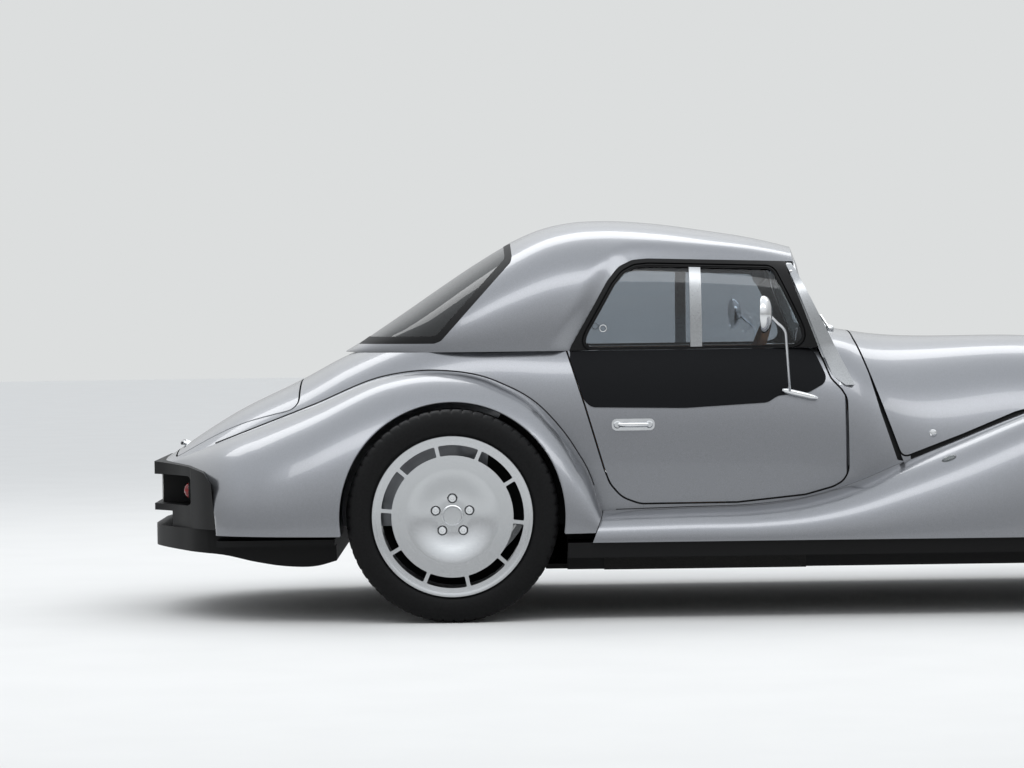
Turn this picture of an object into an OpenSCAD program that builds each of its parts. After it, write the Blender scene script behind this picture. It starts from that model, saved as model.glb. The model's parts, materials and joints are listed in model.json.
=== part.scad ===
/* [Wheels and stance] */
// Distance between the two axles
wheelbase = 2520; // [2440:10:2600]
// Rear axle behind the middle of the car
rear_axle_back = 1060; // [1030:5:1090]
// Outer radius of a rear tyre
rear_tyre_r = 343; // [335:1:346]
// Section width of a rear tyre
rear_tyre_w = 255; // [235:5:265]
// Outer radius of a front tyre
front_tyre_r = 335; // [328:1:340]
// Section width of a front tyre
front_tyre_w = 235; // [215:5:245]
// Half track, from the centre line to the middle of a rear tyre
rear_half_track = 757; // [745:1:765]
// Half track at the front
front_half_track = 758; // [745:1:765]
// Radius of the rim where the tyre sits
rim_r = 248; // [244:1:252]
// Number of slim spokes round the wheel disc
spokes = 10; // [6:1:14]
// Radius of the smooth wheel disc, where the windows start
disc_r = 195; // [180:1:200]
// Outer radius of the wheel windows
window_r = 233; // [225:1:236]
// Width of one spoke
spoke_w = 12; // [8:1:20]
// Pitch circle radius of the wheel bolts
bolt_circle_r = 57; // [52:0.5:60]
// Radius of an axle stub
stub_r = 30; // [25:1:34]

/* [Body] */
// Half length of the car, from the middle to nose or tail
half_length = 2070; // [2060:5:2090]
// Height of the roof
roof_z = 1300; // [1280:5:1320]
// Height of the belt line, where the hard top sits on the body
belt_z = 866; // [860:1:872]
// Thickness of the outer body panels
panel_t = 12; // [8:1:16]
// Thickness of a door
door_t = 58; // [48:1:64]
// Thickness of the hard top
top_t = 20; // [15:1:24]
// Gap round doors and lids
shut_gap = 6; // [5:0.5:8]
// Clearance between pieces that sit on each other
seat_gap = 0.3; // [0.2:0.05:0.5]
// Radius of the rear wheel arch
rear_arch_r = 366; // [360:1:372]
// Radius of the front wheel arch
front_arch_r = 372; // [368:1:378]
// Greatest half width of the rear wings
rear_wing_y = 902; // [892:1:910]
// Greatest half width of the front wings
front_wing_y = 888; // [882:1:900]
// Thickness of the window glass
glass_t = 5; // [4:0.5:6]
// Rake of the windscreen from upright, in degrees
screen_rake = 20.6; // [18:0.2:24]

/* [Chassis] */
// Underside of the floor
floor_z = 150; // [140:1:160]
// Thickness of the floor and bulkheads
floor_t = 16; // [12:1:20]
// Half width of the floor
floor_y = 570; // [540:5:590]
// Length of the engine block
engine_l = 620; // [500:10:640]
// Width of the engine block
engine_w = 440; // [380:10:460]
// Height of the engine block
engine_h = 420; // [360:10:440]

/* [Cabin] */
// Width of a seat
seat_w = 420; // [380:10:430]
// Radius of the steering wheel
steering_r = 180; // [165:1:190]
// Radius of the steering column
column_r = 18; // [14:1:22]

/* [Hidden] */
$fn = 64;
rear_x = -rear_axle_back;
front_x = rear_x + wheelbase;
tail_x = -half_length;
nose_x = half_length;
body_bottom = 300;
// Middle of a seat from the centre line
seat_y = 305;
// The tables below were measured on a car with these axles, ends, belt line and roof
drawn_rear = -1060;
drawn_front = 1460;
drawn_end = 2070;
drawn_belt = 866;
drawn_roof = 1300;
// A measured station, moved with the axles and the ends of the car
function at(x) =
    x < drawn_rear ? rear_x + (x - drawn_rear) * (tail_x - rear_x) / (-drawn_end - drawn_rear)
    : x > drawn_front ? front_x + (x - drawn_front) * (nose_x - front_x) / (drawn_end - drawn_front)
    : rear_x + (x - drawn_rear) * wheelbase / (drawn_front - drawn_rear);
// A measured height, moved with the roof where it lies above the belt line
function up(z) =
    z < drawn_belt ? z : belt_z + (z - drawn_belt) * (roof_z - belt_z) / (drawn_roof - drawn_belt);
function stations(t) = [for (r = t) [for (i = [0:len(r) - 1]) i == 0 ? at(r[0]) : r[i]]];
function outline(points) = [for (p = points) [at(p.x), up(p.y)]];
// Plan outline of the whole width from the stations and half widths of one side
function mirrored(half) = concat(half, [for (i = [len(half) - 1:-1:0]) [half[i].x, -half[i].y]]);

// Body sections: station, half width, crown height, squareness
BODY = stations([
    [-2036, 400, 520, 3], [-1800, 500, 668, 3], [-1573, 560, 777, 3], [-1425, 584, 854, 3.2],
    [-1060, 606, 955, 4.5], [-683, 668, 962, 4.5], [-300, 686, 960, 4.5], [100, 668, 945, 4.3],
    [250, 648, 922, 4], [330, 634, 909, 3.4], [900, 505, 890, 2.7], [1460, 398, 848, 2.5],
    [1900, 312, 765, 2.5], [2000, 286, 705, 2.5]]);
// Hard top sections: station, half width at the belt, crown height, squareness
TOP = [for (r = [
    [-1428, 40, 870, 2.4], [-1400, 165, 886, 2.4], [-1330, 300, 932, 2.4], [-1220, 425, 1005, 2.4],
    [-1100, 512, 1086, 2.5], [-980, 558, 1164, 2.6], [-863, 577, 1231, 2.7], [-760, 586, 1274, 2.8],
    [-660, 590, 1295, 2.9], [-553, 592, 1300, 3], [-382, 592, 1289, 3.1], [-210, 588, 1264, 3.3],
    [-39, 582, 1234, 3.5], [64, 577, 1208, 3.6], [200, 570, 1168, 3.6]])
    [at(r[0]), r[1], up(r[2]), r[3]]];
// Rear wing sections: station, height of the crease, half width, squareness
REAR_WING = stations([
    [-2010, 511, 340, 2.2], [-1932, 540, 550, 2.2], [-1829, 580, 722, 2.3], [-1700, 629, 815, 2.3],
    [-1524, 696, 874, 2.4], [-1285, 789, rear_wing_y - 3, 2.4], [-1101, 806, rear_wing_y, 2.4],
    [-909, 767, rear_wing_y - 3, 2.4], [-753, 668, 890, 2.4], [-660, 548, 872, 2.4],
    [-613, 461, 862, 2.4], [-581, 365, 856, 2.4], [-560, 300, 852, 2.4]]);
// Front wing sections: station, junction with the body, crest height, crest y, outer y, bottom
FRONT_WING = stations([
    [-640, 344, 346, 700, 862, 252], [-300, 352, 354, 708, 866, 252], [-69, 358, 361, 700, 868, 252],
    [86, 376, 380, 692, 870, 252], [250, 420, 425, 676, 874, 252], [394, 476, 482, 662, 878, 252],
    [600, 552, 560, 660, 882, 252], [799, 622, 636, 672, front_wing_y - 3, 252],
    [1060, 690, 722, 700, front_wing_y, 252], [1270, 712, 772, 716, front_wing_y, 252],
    [1460, 706, 788, 720, front_wing_y, 252], [1650, 672, 768, 718, front_wing_y - 2, 290],
    [1800, 612, 704, 710, 874, 304], [1920, 530, 590, 690, 842, 314], [2000, 430, 470, 660, 790, 330]]);
// Front edge of the door, where its hinge is
door_front = at(233);
// Side outlines, x and z
DOOR = outline([[-690, 896], [-684, 871], [-626, 686], [-567, 483], [-548, 432], [-510, 388], [-451, 366],
    [-133, 367], [89, 388], [180, 412], [215, 430], [233, 462], [233, 700], [216, 728], [182, 764],
    [174, 784], [144, 862], [132, 896]]);
WINDOW = outline([[-654, 866], [-572, 1008], [-530, 1082], [-496, 1124], [-456, 1144], [-410, 1148],
    [-10, 1135], [8, 1122], [127, 866]]);
TOP_OPENING = outline([[-674, 826], [-674, 870], [-590, 1016], [-546, 1094], [-508, 1140], [-462, 1162],
    [-412, 1166], [60, 1151], [400, 1140], [400, 826]]);
FLAP = outline([[-672, 865], [-672, 838], [-630, 706], [-606, 682], [-300, 676], [-30, 690], [6, 712],
    [110, 722], [160, 750], [166, 772], [127, 865]]);
REAR_GLASS = outline([[-1600, 894], [-1118, 894], [-1096, 902], [-862, 1160], [-858, 1180], [-884, 1400],
    [-1600, 1400]]);
BONNET = outline([[262, 1000], [273, 893], [331, 727], [412, 500], [620, 572], [799, 640], [1060, 706],
    [1270, 728], [1460, 722], [1650, 688], [1800, 630], [1880, 580], [1880, 1100], [262, 1100]]);
bonnet_front = at(1880);
// Joint of the front and rear wings, and the end of the wings at the tail
WING_JOINT = outline([[-616, 240], [-571, 352], [-540, 420]]);
TAIL_CUT = outline([[-1829, 240], [-1832, 300], [-1848, 447], [-1874, 485], [-1932, 501], [-2100, 516],
    [-2100, 240]]);
// Air outlet behind the rear edge of the bonnet
VENT = outline([[300, 815], [416, 490], [377, 500], [338, 640]]);
// Side outline of a windscreen pillar, from its top to its foot
PILLAR = outline([[46, 1146], [66, 1146], [262, 738], [246, 730], [188, 772]]);
// Plan outline of the boot lid: stations and half widths
boot_front = at(-1573);
boot_back = at(-1996);
boot_front_y = 436;
boot_back_y = 268;
boot_corner_r = 34;
wing_bottom = 283;

// Slope between two rows of a table
function secant(t, c, i) = (t[i + 1][c] - t[i][c]) / (t[i + 1][0] - t[i][0]);
function slope(t, c, i) =
    i == 0 ? secant(t, c, 0)
    : i == len(t) - 1 ? secant(t, c, i - 1)
    : let (h0 = t[i][0] - t[i - 1][0], h1 = t[i + 1][0] - t[i][0])
      (h1 * secant(t, c, i - 1) + h0 * secant(t, c, i)) / (h0 + h1);
function row_of(t, x, i = 0) = i >= len(t) - 2 || x < t[i + 1][0] ? i : row_of(t, x, i + 1);
// Smooth value of column c of a table at station x
function along(t, c, x) =
    let (i = row_of(t, x), h = t[i + 1][0] - t[i][0], s = max(0, min(1, (x - t[i][0]) / h)))
    (1 + 2 * s) * (1 - s) ^ 2 * t[i][c] + s * (1 - s) ^ 2 * h * slope(t, c, i)
    + s ^ 2 * (3 - 2 * s) * t[i + 1][c] + s ^ 2 * (s - 1) * h * slope(t, c, i + 1);
function power(v, p) = sign(v) * abs(v) ^ p;
function steps(a, b, n) = [for (i = [0:n]) a + (b - a) * i / n];

// Point of the body skin at angle a round the section, d below the surface
function body_point(x, a, d) =
    let (n = along(BODY, 3, x))
    [x, (along(BODY, 1, x) - d) * power(cos(a), 2 / n),
        body_bottom + (along(BODY, 2, x) - d - body_bottom) * sin(a) ^ (2 / n)];
// Half width of the body at height z
function body_y(x, z, d = 0) =
    let (n = along(BODY, 3, x),
        s = max(0, min(0.999, (z - body_bottom) / (along(BODY, 2, x) - d - body_bottom))))
    (along(BODY, 1, x) - d) * (1 - s ^ n) ^ (1 / n);
// Point of the hard top at angle a round the section, d below the surface
function top_point(x, a, d) =
    let (n = along(TOP, 3, x), w = max(12, along(TOP, 1, x) - d))
    [x, w * power(cos(a), 2 / n), belt_z + max(2, along(TOP, 2, x) - d - belt_z) * sin(a) ^ (2 / n)];

// Closed solid between two grids of points; rows run forward and columns run to the right
module skin(outer, inner) {
    rows = len(outer) - 1;
    cols = len(outer[0]) - 1;
    function o(r, c) = r * (cols + 1) + c;
    function i(r, c) = (rows + 1) * (cols + 1) + o(r, c);
    faces = [
        for (r = [0:rows - 1], c = [0:cols - 1]) each [
            [o(r, c), o(r + 1, c), o(r + 1, c + 1)], [o(r, c), o(r + 1, c + 1), o(r, c + 1)],
            [i(r, c), i(r + 1, c + 1), i(r + 1, c)], [i(r, c), i(r, c + 1), i(r + 1, c + 1)]],
        for (c = [0:cols - 1]) each [
            [o(0, c), o(0, c + 1), i(0, c + 1)], [o(0, c), i(0, c + 1), i(0, c)],
            [o(rows, c + 1), o(rows, c), i(rows, c)], [o(rows, c + 1), i(rows, c), i(rows, c + 1)]],
        for (r = [0:rows - 1]) each [
            [o(r + 1, 0), o(r, 0), i(r, 0)], [o(r + 1, 0), i(r, 0), i(r + 1, 0)],
            [o(r, cols), o(r + 1, cols), i(r + 1, cols)], [o(r, cols), i(r + 1, cols), i(r, cols)]]];
    polyhedron([for (r = outer) each r, for (r = inner) each r], faces);
}
// Part of the body skin between two stations, from depth d to depth d + t
module body_skin(x0, x1, rows, cols, d, t) {
    angles = steps(0, 180, cols);
    skin([for (x = steps(x0, x1, rows)) [for (a = angles) body_point(x, a, d)]],
        [for (x = steps(x0, x1, rows)) [for (a = angles) body_point(x, a, d + t)]]);
}
// The same for the hard top, over the stations given
module top_skin(stations, cols, d, t) {
    angles = steps(0, 180, cols);
    skin([for (x = stations) [for (a = angles) top_point(x, a, d)]],
        [for (x = stations) [for (a = angles) top_point(x, a, d + t)]]);
}
// Side outline pushed across the whole car
module across(points, grow = 0, round_r = 0) {
    rotate([90, 0, 0])
        linear_extrude(2400, center = true)
            offset(delta = grow) offset(r = round_r, $fn = 12) offset(delta = -round_r) polygon(points);
}
// Right-hand half of the space
module right_half() { translate([-3000, -1500, -500]) cube([6000, 1500, 3000]); }
// One triangle mesh from cuts through skins
module cut_mesh() { resize([0, 0, 0]) union() children(); }
module both_sides() { children(); mirror([0, 1, 0]) children(); }

// Windscreen: rear-view place of its top corner, bow at the middle, frame depth and width
screen_x = at(46);
screen_z = up(1147);
screen_bow = 43;
screen_rear = 6;
screen_front = 18;
pillar_t = 30;
header_gap = 3;
frame_w = 32;
screen_foot = [615, 742];
wing_gap = 2;
front_gap = 4;
wing_edge = 14;
arch_inner_y = 482;
axle_hole_r = 75;
house_y = rear_half_track - rear_tyre_w / 2 - 12;
arm_hole_r = 240;
// Thickness of the arch roof
house_t = 8;

function screen_point(y, z, d) =
    [screen_x + (screen_z - z) * tan(screen_rake) + screen_bow * max(0, 1 - (y / 520) ^ 2) + d, y, z];
module screen_skin(d0, d1) {
    ys = steps(-640, 640, 10);
    zs = [690, 900, roof_z];
    skin([for (z = zs) [for (y = ys) screen_point(y, z, d1)]],
        [for (z = zs) [for (y = ys) screen_point(y, z, d0)]]);
}
function screen_top(a, d) = let (p = top_point(at(92), a, d)) [p.y, p.z];
// Front outline of the screen, d below the roof and drawn in as much as asked
module screen_outline(inset, d = top_t + header_gap) {
    rotate([90, 0, 90])
        linear_extrude(1200, center = true)
            offset(delta = -inset)
                polygon(concat([screen_foot], [for (a = steps(0, 180, top_cols)) screen_top(a, d)],
                    [[-screen_foot.x, screen_foot.y]]));
}
// Filled body between two stations
module body_solid(x0, x1, grow, rows = 8) {
    angles = steps(0, 180, body_cols);
    xs = steps(x0, x1, rows);
    skin([for (x = xs) [for (a = angles) body_point(x, a, -grow)]],
        [for (x = xs) [for (a = angles) [x, body_point(x, a, 20).y, body_bottom - 20]]]);
}
scuttle_rows = 8;
// Filled body with the same faces as the scuttle
module scuttle_fill(grow) { body_solid(body_end + seat_gap, at(440), grow, scuttle_rows); }
module boot_outline(grow) {
    translate([0, 0, 200])
        linear_extrude(900)
            offset(delta = grow) offset(r = boot_corner_r, $fn = 16) offset(delta = -boot_corner_r)
                polygon([[boot_front, boot_front_y], [boot_front, -boot_front_y], [boot_back, -boot_back_y],
                    [boot_back, boot_back_y]]);
}

// How finely the skins are divided: columns round a section, and stations of the hard top
body_cols = 22;
side_cols = 20;
top_cols = 20;
top_stations = concat([at(-1428), at(-1410), at(-1370)], steps(at(-1300), at(180), 12));

// Body panels
module rear_axis() { translate([rear_x, 0, rear_tyre_r]) rotate([90, 0, 0]) children(); }
// Roof and inner wall of the rear wheel arches, before the arches are cut out of them
module wheel_house() {
    intersection() {
        body_solid(at(-1480), at(-600), -1);
        both_sides() rear_axis()
            translate([0, 0, house_y - panel_t]) cylinder(r = rear_arch_r + house_t, h = 400, $fn = 40);
        translate([tail_x, -1000, body_bottom]) cube([2 * half_length, 2000, 1000]);
    }
}
body_rows = 12;
body_end = at(-440);
module rear_body() {
    color("silver") cut_mesh() difference() {
        union() {
            body_skin(at(-2036), body_end, body_rows, body_cols, 0, panel_t);
            wheel_house();
        }
        both_sides() rear_axis() translate([0, 0, house_y]) cylinder(r = rear_arch_r, h = 400, $fn = 40);
        translate([tail_x, -1500, belt_z - seat_gap]) cube([2 * half_length, 3000, 1000]);
        across(DOOR, shut_gap / 2);
        across(TAIL_CUT);
        boot_outline(shut_gap / 2);
        rear_axis() cylinder(r = axle_hole_r, h = 2000, center = true, $fn = 24);
    }
}
module boot_lid() {
    color("silver") cut_mesh() intersection() {
        body_skin(boot_back - 20, boot_front + 20, 4, body_cols, 0, panel_t);
        boot_outline(-shut_gap / 2);
    }
}
module scuttle() {
    color("silver") cut_mesh() difference() {
        body_skin(body_end + seat_gap, at(440), scuttle_rows, body_cols, 0, panel_t);
        translate([tail_x, -1500, belt_z - 60]) cube([at(150) - tail_x, 3000, 1000]);
        across(DOOR, shut_gap / 2);
        across(BONNET, shut_gap / 2);
        across(VENT);
    }
}
module bonnet() {
    color("silver") cut_mesh() intersection() {
        body_skin(at(240), bonnet_front, 9, body_cols, 0, panel_t);
        across(BONNET, -shut_gap / 2);
    }
}
module nose_cowl() {
    color("silver") body_skin(bonnet_front + shut_gap / 2, at(2000), 3, body_cols, 0, cowl_t);
}
module hardtop() {
    color("silver") cut_mesh() difference() {
        top_skin(top_stations, top_cols, 0, top_t);
        across(TOP_OPENING, 0, 20);
        across(REAR_GLASS, 0, 10);
        screen_skin(screen_front, 900);
    }
}
module rear_window() {
    color("darkslategray") cut_mesh() intersection() {
        top_skin([for (x = top_stations) if (x < at(-780)) x], top_cols, 3, glass_t);
        across(REAR_GLASS, -seat_gap, 10);
    }
}
module windscreen_frame() {
    color("silver") cut_mesh() difference() {
        union() {
            difference() {
                intersection() {
                    screen_skin(-screen_rear, screen_front);
                    screen_outline(0);
                }
                screen_outline(frame_w);
            }
            difference() {
                intersection() {
                    across(PILLAR, 0, 6);
                    screen_outline(0, 1);
                }
                screen_outline(pillar_t, 1);
            }
        }
        scuttle_fill(seat_gap);
    }
}
module windscreen() {
    color("lightblue") cut_mesh() difference() {
        intersection() {
            screen_skin(-glass_t, 0);
            screen_outline(frame_w + seat_gap);
        }
        scuttle_fill(seat_gap);
    }
}
// How far the root of a rear wing reaches in before it is cut to the faces of the rear body
wing_root = 12;
module body_rows_solid(grow) { body_solid(at(-2036), body_end, grow, body_rows); }
function rear_wing_outer(x, a) =
    let (zc = along(REAR_WING, 1, x), n = along(REAR_WING, 3, x), yi = body_y(x, zc) + wing_gap)
    [x, -yi - (along(REAR_WING, 2, x) - yi) * sin(a) ^ (2 / n),
        wing_bottom + (zc - wing_bottom) * cos(a) ^ (2 / n)];
function rear_wing_inner(x, k) =
    let (z = wing_bottom + (along(REAR_WING, 1, x) - wing_edge - wing_bottom) * (1 - k))
    [x, -body_y(x, z) + wing_root, z];
module rear_wing() {
    xs = concat(steps(at(-2010), at(-1520), 6), steps(at(-1430), at(-770), 6), steps(at(-730), at(-565), 4));
    angles = steps(0, 90, 8);
    color("silver") cut_mesh() difference() {
        skin([for (x = xs) [for (a = angles) rear_wing_outer(x, a)]],
            [for (x = xs) [for (a = angles) rear_wing_inner(x, a / 90)]]);
        rear_axis() translate([0, 0, 400]) cylinder(r = rear_arch_r, h = 800, $fn = 40);
        across(TAIL_CUT);
        across(concat(WING_JOINT, [[at(-400), 420], [at(-400), 240]]), 2);
        body_rows_solid(wing_gap);
    }
}
function front_wing_outer(x, k) =
    let (zj = along(FRONT_WING, 1, x), zt = along(FRONT_WING, 2, x), yc = along(FRONT_WING, 3, x),
        yo = along(FRONT_WING, 4, x), zl = along(FRONT_WING, 5, x), yi = body_y(x, zj) + front_gap,
        b = k < 1 ? 90 * k : 90 * (k - 1))
    k < 1 ? [x, -yc + (yc - yi) * cos(b), zj + (zt - zj) * sin(b)]
    : [x, -yc - (yo - yc) * sin(b) ^ 0.87, zl + (zt - zl) * cos(b) ^ 0.87];
function front_wing_inner(x, k) =
    let (zj = along(FRONT_WING, 1, x) - wing_edge, z = zj + (along(FRONT_WING, 5, x) - zj) * k / 2)
    [x, -body_y(x, z) - front_gap, z];
module front_wing() {
    xs = concat(steps(at(-640), at(1000), 8), steps(at(1080), at(2000), 9));
    ks = steps(0, 2, 8);
    color("silver") cut_mesh() difference() {
        skin([for (x = xs) [for (k = ks) front_wing_outer(x, k)]],
            [for (x = xs) [for (k = ks) front_wing_inner(x, k)]]);
        translate([front_x, -arch_inner_y, front_tyre_r])
            rotate([90, 0, 0]) cylinder(r = front_arch_r, h = 800, $fn = 36);
        translate([front_x, -300, front_tyre_r])
            rotate([90, 0, 0]) cylinder(r = arm_hole_r, h = 800, $fn = 32);
        across(concat(WING_JOINT, [[at(-900), 420], [at(-900), 240]]), 1);
        headlamp_place() headlamp_pocket($fn = 40);
    }
}
// Doors and what they carry
// Part of the right-hand body side, from out mm outside the body to t further in
module side_skin(out, t) {
    xs = steps(at(-700), at(240), 6);
    angles = steps(110, 180, 9);
    skin([for (x = xs) [for (a = angles) body_point(x, a, 0) - [0, out, 0]]],
        [for (x = xs) [for (a = angles) body_point(x, a, 0) - [0, out - t, 0]]]);
}
module door() {
    color("silver") cut_mesh() intersection() {
        side_skin(0, door_t);
        across(DOOR, -shut_gap / 2);
        right_half();
        translate([-1000, -1000, 0]) cube([2000, 1000, belt_z - seat_gap]);
    }
}
window_bar_x = at(-276);
window_bar_w = 38;
window_frame_w = 20;
module window_pane(inset) {
    difference() {
        across(WINDOW, -window_frame_w - inset, 8);
        translate([window_bar_x - inset, -1000, 0]) cube([window_bar_w + 2 * inset, 2000, 2000]);
    }
}
module side_screen() {
    color("dimgray") cut_mesh() intersection() {
        top_skin(steps(at(-700), at(160), 5), side_cols, 2, 13);
        difference() { across(WINDOW, 0, 20); window_pane(0); }
        right_half();
    }
    side_flap();
}
module side_glass() {
    color("lightblue") cut_mesh() intersection() {
        top_skin(steps(at(-700), at(160), 5), side_cols, 6, glass_t);
        window_pane(seat_gap);
        right_half();
    }
}
module side_flap() {
    color("black") cut_mesh() intersection() {
        side_skin(4 + seat_gap, 4);
        across(FLAP, 0, 8);
        right_half();
    }
}
// Rod between two points
module rod(a, b, r) {
    v = b - a;
    translate(a) rotate([0, acos(v.z / norm(v)), atan2(v.y, v.x)]) cylinder(r = r, h = norm(v));
}
function on_door(x, z, out) = [x, -body_y(x, z) - out, z];
handle_x = at(-470);
handle_z = 624;
mirror_r = 59;
// Bar on the door, elbow of the stalk and middle of the head
mirror_bar = [on_door(at(18), 730, 14), on_door(at(134), 701, 14)];
mirror_elbow = [at(20), -800, 930];
mirror_head = [at(-52), -858, 978];
module door_fittings() {
    $fn = 10;
    color("gainsboro") cut_mesh() {
        for (dx = [-48, 48])
            translate(on_door(handle_x + dx, handle_z, 1)) rotate([90, 0, 0]) cylinder(r = 17, h = 16);
        rod(on_door(handle_x - 60, handle_z, 17), on_door(handle_x + 60, handle_z, 17), 8);
        rod(mirror_bar[0], mirror_bar[1], 9);
        rod(on_door(at(43), 722, 14), mirror_elbow, 6);
        translate(mirror_elbow) sphere(r = 7);
        rod(mirror_elbow, mirror_head + [12, 8, 0], 6);
        translate(mirror_head) rotate([0, 90, 0]) cylinder(r1 = mirror_r, r2 = mirror_r - 22, h = 30);
    }
}
// Hinge pins in the shut lines, at the outer face of the panels
pin_r = 2.7;
function bonnet_hinge() = [bonnet_front, 0, along(BODY, 2, bonnet_front) - pin_r - 0.5];
function boot_hinge() = [boot_front, 0, along(BODY, 2, boot_front) - pin_r - 0.5];
module hinge_pins() {
    color("gray") {
        both_sides() rod(on_door(door_front, 480, -pin_r), on_door(door_front, 660, -pin_r), pin_r);
        for (p = [bonnet_hinge(), boot_hinge()])
            translate(p) rotate([90, 0, 0]) cylinder(r = pin_r, h = 70, center = true);
    }
}
// Front end
cowl_t = 34;
lamp_r = 95;
// Clearance of a headlamp in its wing
pocket_gap = 0.6;
// Rim of a headlamp ahead of the front axle, its place from the centre line and its height
lamp_ahead = 330;
lamp_y = 530;
lamp_z = 706;
module headlamp_place() { translate([front_x + lamp_ahead, -lamp_y, lamp_z]) rotate([0, 90, 0]) children(); }
module headlamp_profile() {
    polygon([[0, -150], [48, -120], [80, -70], [lamp_r, -20], [lamp_r, 22], [0, 22]]);
}
module headlamp_pocket() {
    rotate_extrude() intersection() {
        union() {
            offset(delta = pocket_gap) headlamp_profile();
            square([lamp_r + pocket_gap, 160]);
        }
        translate([0, -400]) square([400, 800]);
    }
}
module headlamps() {
    color("gainsboro") both_sides() headlamp_place() rotate_extrude() headlamp_profile();
}
module headlamp_lenses() {
    color("white") both_sides() headlamp_place() rotate_extrude()
        polygon([[0, 22 + seat_gap], [lamp_r - 8, 22 + seat_gap], [lamp_r - 20, 34], [lamp_r - 50, 44],
            [0, 50]]);
}
slats = 15;
module grille() {
    x = at(1970);
    half = body_y(x + 26, body_bottom, cowl_t) - 0.7;
    color("silver") {
        translate([x, -half, body_bottom]) cube([14, 2 * half, 14]);
        for (i = [1:slats]) {
            y = -half + 2 * half * i / (slats + 1);
            h = (along(BODY, 2, x + 26) - cowl_t - body_bottom) * (1 - ((abs(y) + 8) / half) ^ 2.5) ^ 0.4;
            translate([x, y - 4, body_bottom]) cube([26, 8, h - 16]);
        }
    }
}
// Plan outline of the splitter, station and half width
SPLITTER = stations([[1850, 700], [1930, 690], [2010, 600], [2054, 420], [2070, 200]]);
splitter_z = 214;
tow_eye_r = 8;
tow_eye_depth = 60;
tow_eye_y = -150;
tow_eye_z = 257;
module front_splitter() {
    color("black") difference() {
        translate([0, 0, splitter_z]) linear_extrude(body_bottom - seat_gap - splitter_z)
            polygon(mirrored(SPLITTER));
        translate([nose_x, tow_eye_y, tow_eye_z]) rotate([0, -90, 0])
            cylinder(r = tow_eye_r, h = tow_eye_depth);
    }
}
// Tail
// Plan outline of the fascia, station and half width
FASCIA = stations([[-1835, 708], [-1880, 646], [-1932, 548], [-1980, 450], [-2020, 385], [-2064, 330]]);
// Bay for the plate and the lamps: heights, walls behind the lamps and the plate, half width of the plate
bay_low = 372;
bay_high = 470;
lamp_wall = at(-1925);
plate_wall = at(-2040);
plate_y = 275;
// The foot of the fascia is set in below the bay
foot_x = at(-1998);
foot_z = 350;
tail_lamp_r = 30;
tail_lamp_y = 500;
lamp_seat = 10;
// Space behind a station, at the heights given and from y outward on both sides
module behind(x, y, low, high) {
    both_sides() translate([x - 1000, y, low]) cube([1000, 1000, high - low]);
}
module tail_lamp_place() {
    translate([lamp_wall + lamp_seat, -tail_lamp_y, (bay_low + bay_high) / 2]) rotate([0, -90, 0]) children();
}
module rear_fascia() {
    color("black") cut_mesh() difference() {
        intersection() {
            linear_extrude(1000) polygon(mirrored(FASCIA));
            across(TAIL_CUT, -seat_gap);
            translate([-3000, -1000, body_bottom]) cube([4000, 2000, 1000]);
        }
        behind(lamp_wall, plate_y, bay_low, bay_high);
        behind(plate_wall, -1, bay_low, bay_high);
        behind(foot_x, -1, 0, foot_z);
        both_sides() tail_lamp_place() cylinder(r = tail_lamp_r + seat_gap, h = 200, $fn = 32);
    }
}
module tail_lamps() {
    color("red") both_sides() tail_lamp_place() translate([0, 0, seat_gap]) rotate_extrude()
        polygon([[0, 0], [tail_lamp_r, 0], [tail_lamp_r, lamp_seat + 8], [tail_lamp_r - 10, lamp_seat + 18],
            [0, lamp_seat + 22]]);
}
// Plan outline of the undertray, station and half width
TRAY = stations([[-1445, 640], [-1830, 640], [-1895, 600], [-1960, 510], [-2020, 400], [-2056, 310],
    [-2070, 200]]);
tray_y = 620;
tray_front = at(-1445);
tray_front_z = 190;
tray_step = at(-1836);
tray_low = [at(-1560), 172];
tray_end_z = 226;
// Strip under a rear wing
strip_back = at(-1828);
strip_y = 745;
strip_z = 246;
strip_h = 20;
// Skirt under a door and a front wing
skirt_back = at(-690);
skirt_front = at(1080);
skirt_y = 846;
skirt_z = 203;
skirt_top = 252 - seat_gap;
sill_y = 646;
module undertray() {
    top = wing_bottom - seat_gap;
    color("black") intersection() {
        rotate([90, 0, 0]) linear_extrude(2 * tray_y, center = true)
            polygon([[tray_front, tray_front_z], [tray_front, top], [tray_step, top],
                [tray_step - 1, body_bottom - seat_gap], [tail_x, body_bottom - seat_gap],
                [tail_x, tray_end_z], tray_low]);
        linear_extrude(1000)
            polygon(mirrored(TRAY));
    }
}
module side_skirts() {
    color("dimgray") both_sides() {
        translate([strip_back, -strip_y, strip_z])
            cube([tray_front - strip_back, strip_y - tray_y - seat_gap, strip_h]);
        translate([skirt_back, -skirt_y, skirt_z])
            cube([skirt_front - skirt_back, skirt_y - sill_y - seat_gap, skirt_top - skirt_z]);
    }
}
// Chassis
rail_y = 200;
rail_w = 60;
rail_top = 260;
tunnel_h = 230;
sill_h = 200;
firewall_x = at(300);
bulkhead_x = at(-760);
boot_floor_z = 470;
boot_floor_y = 380;
// Room left beside a seat
seat_room = 20;
tunnel_y = seat_y - seat_w / 2 - seat_room;
bulkhead_gap = 2;
// Height up to which the bulkheads follow the inside of the body
bulkhead_side_z = 600;
// Half width and height of the top edges
firewall_top = [480, 815];
bulkhead_top = [500, 830];
rail_low = 190;
boot_floor_back = at(-1800);
rail_front = at(1850) - seat_gap;
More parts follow.
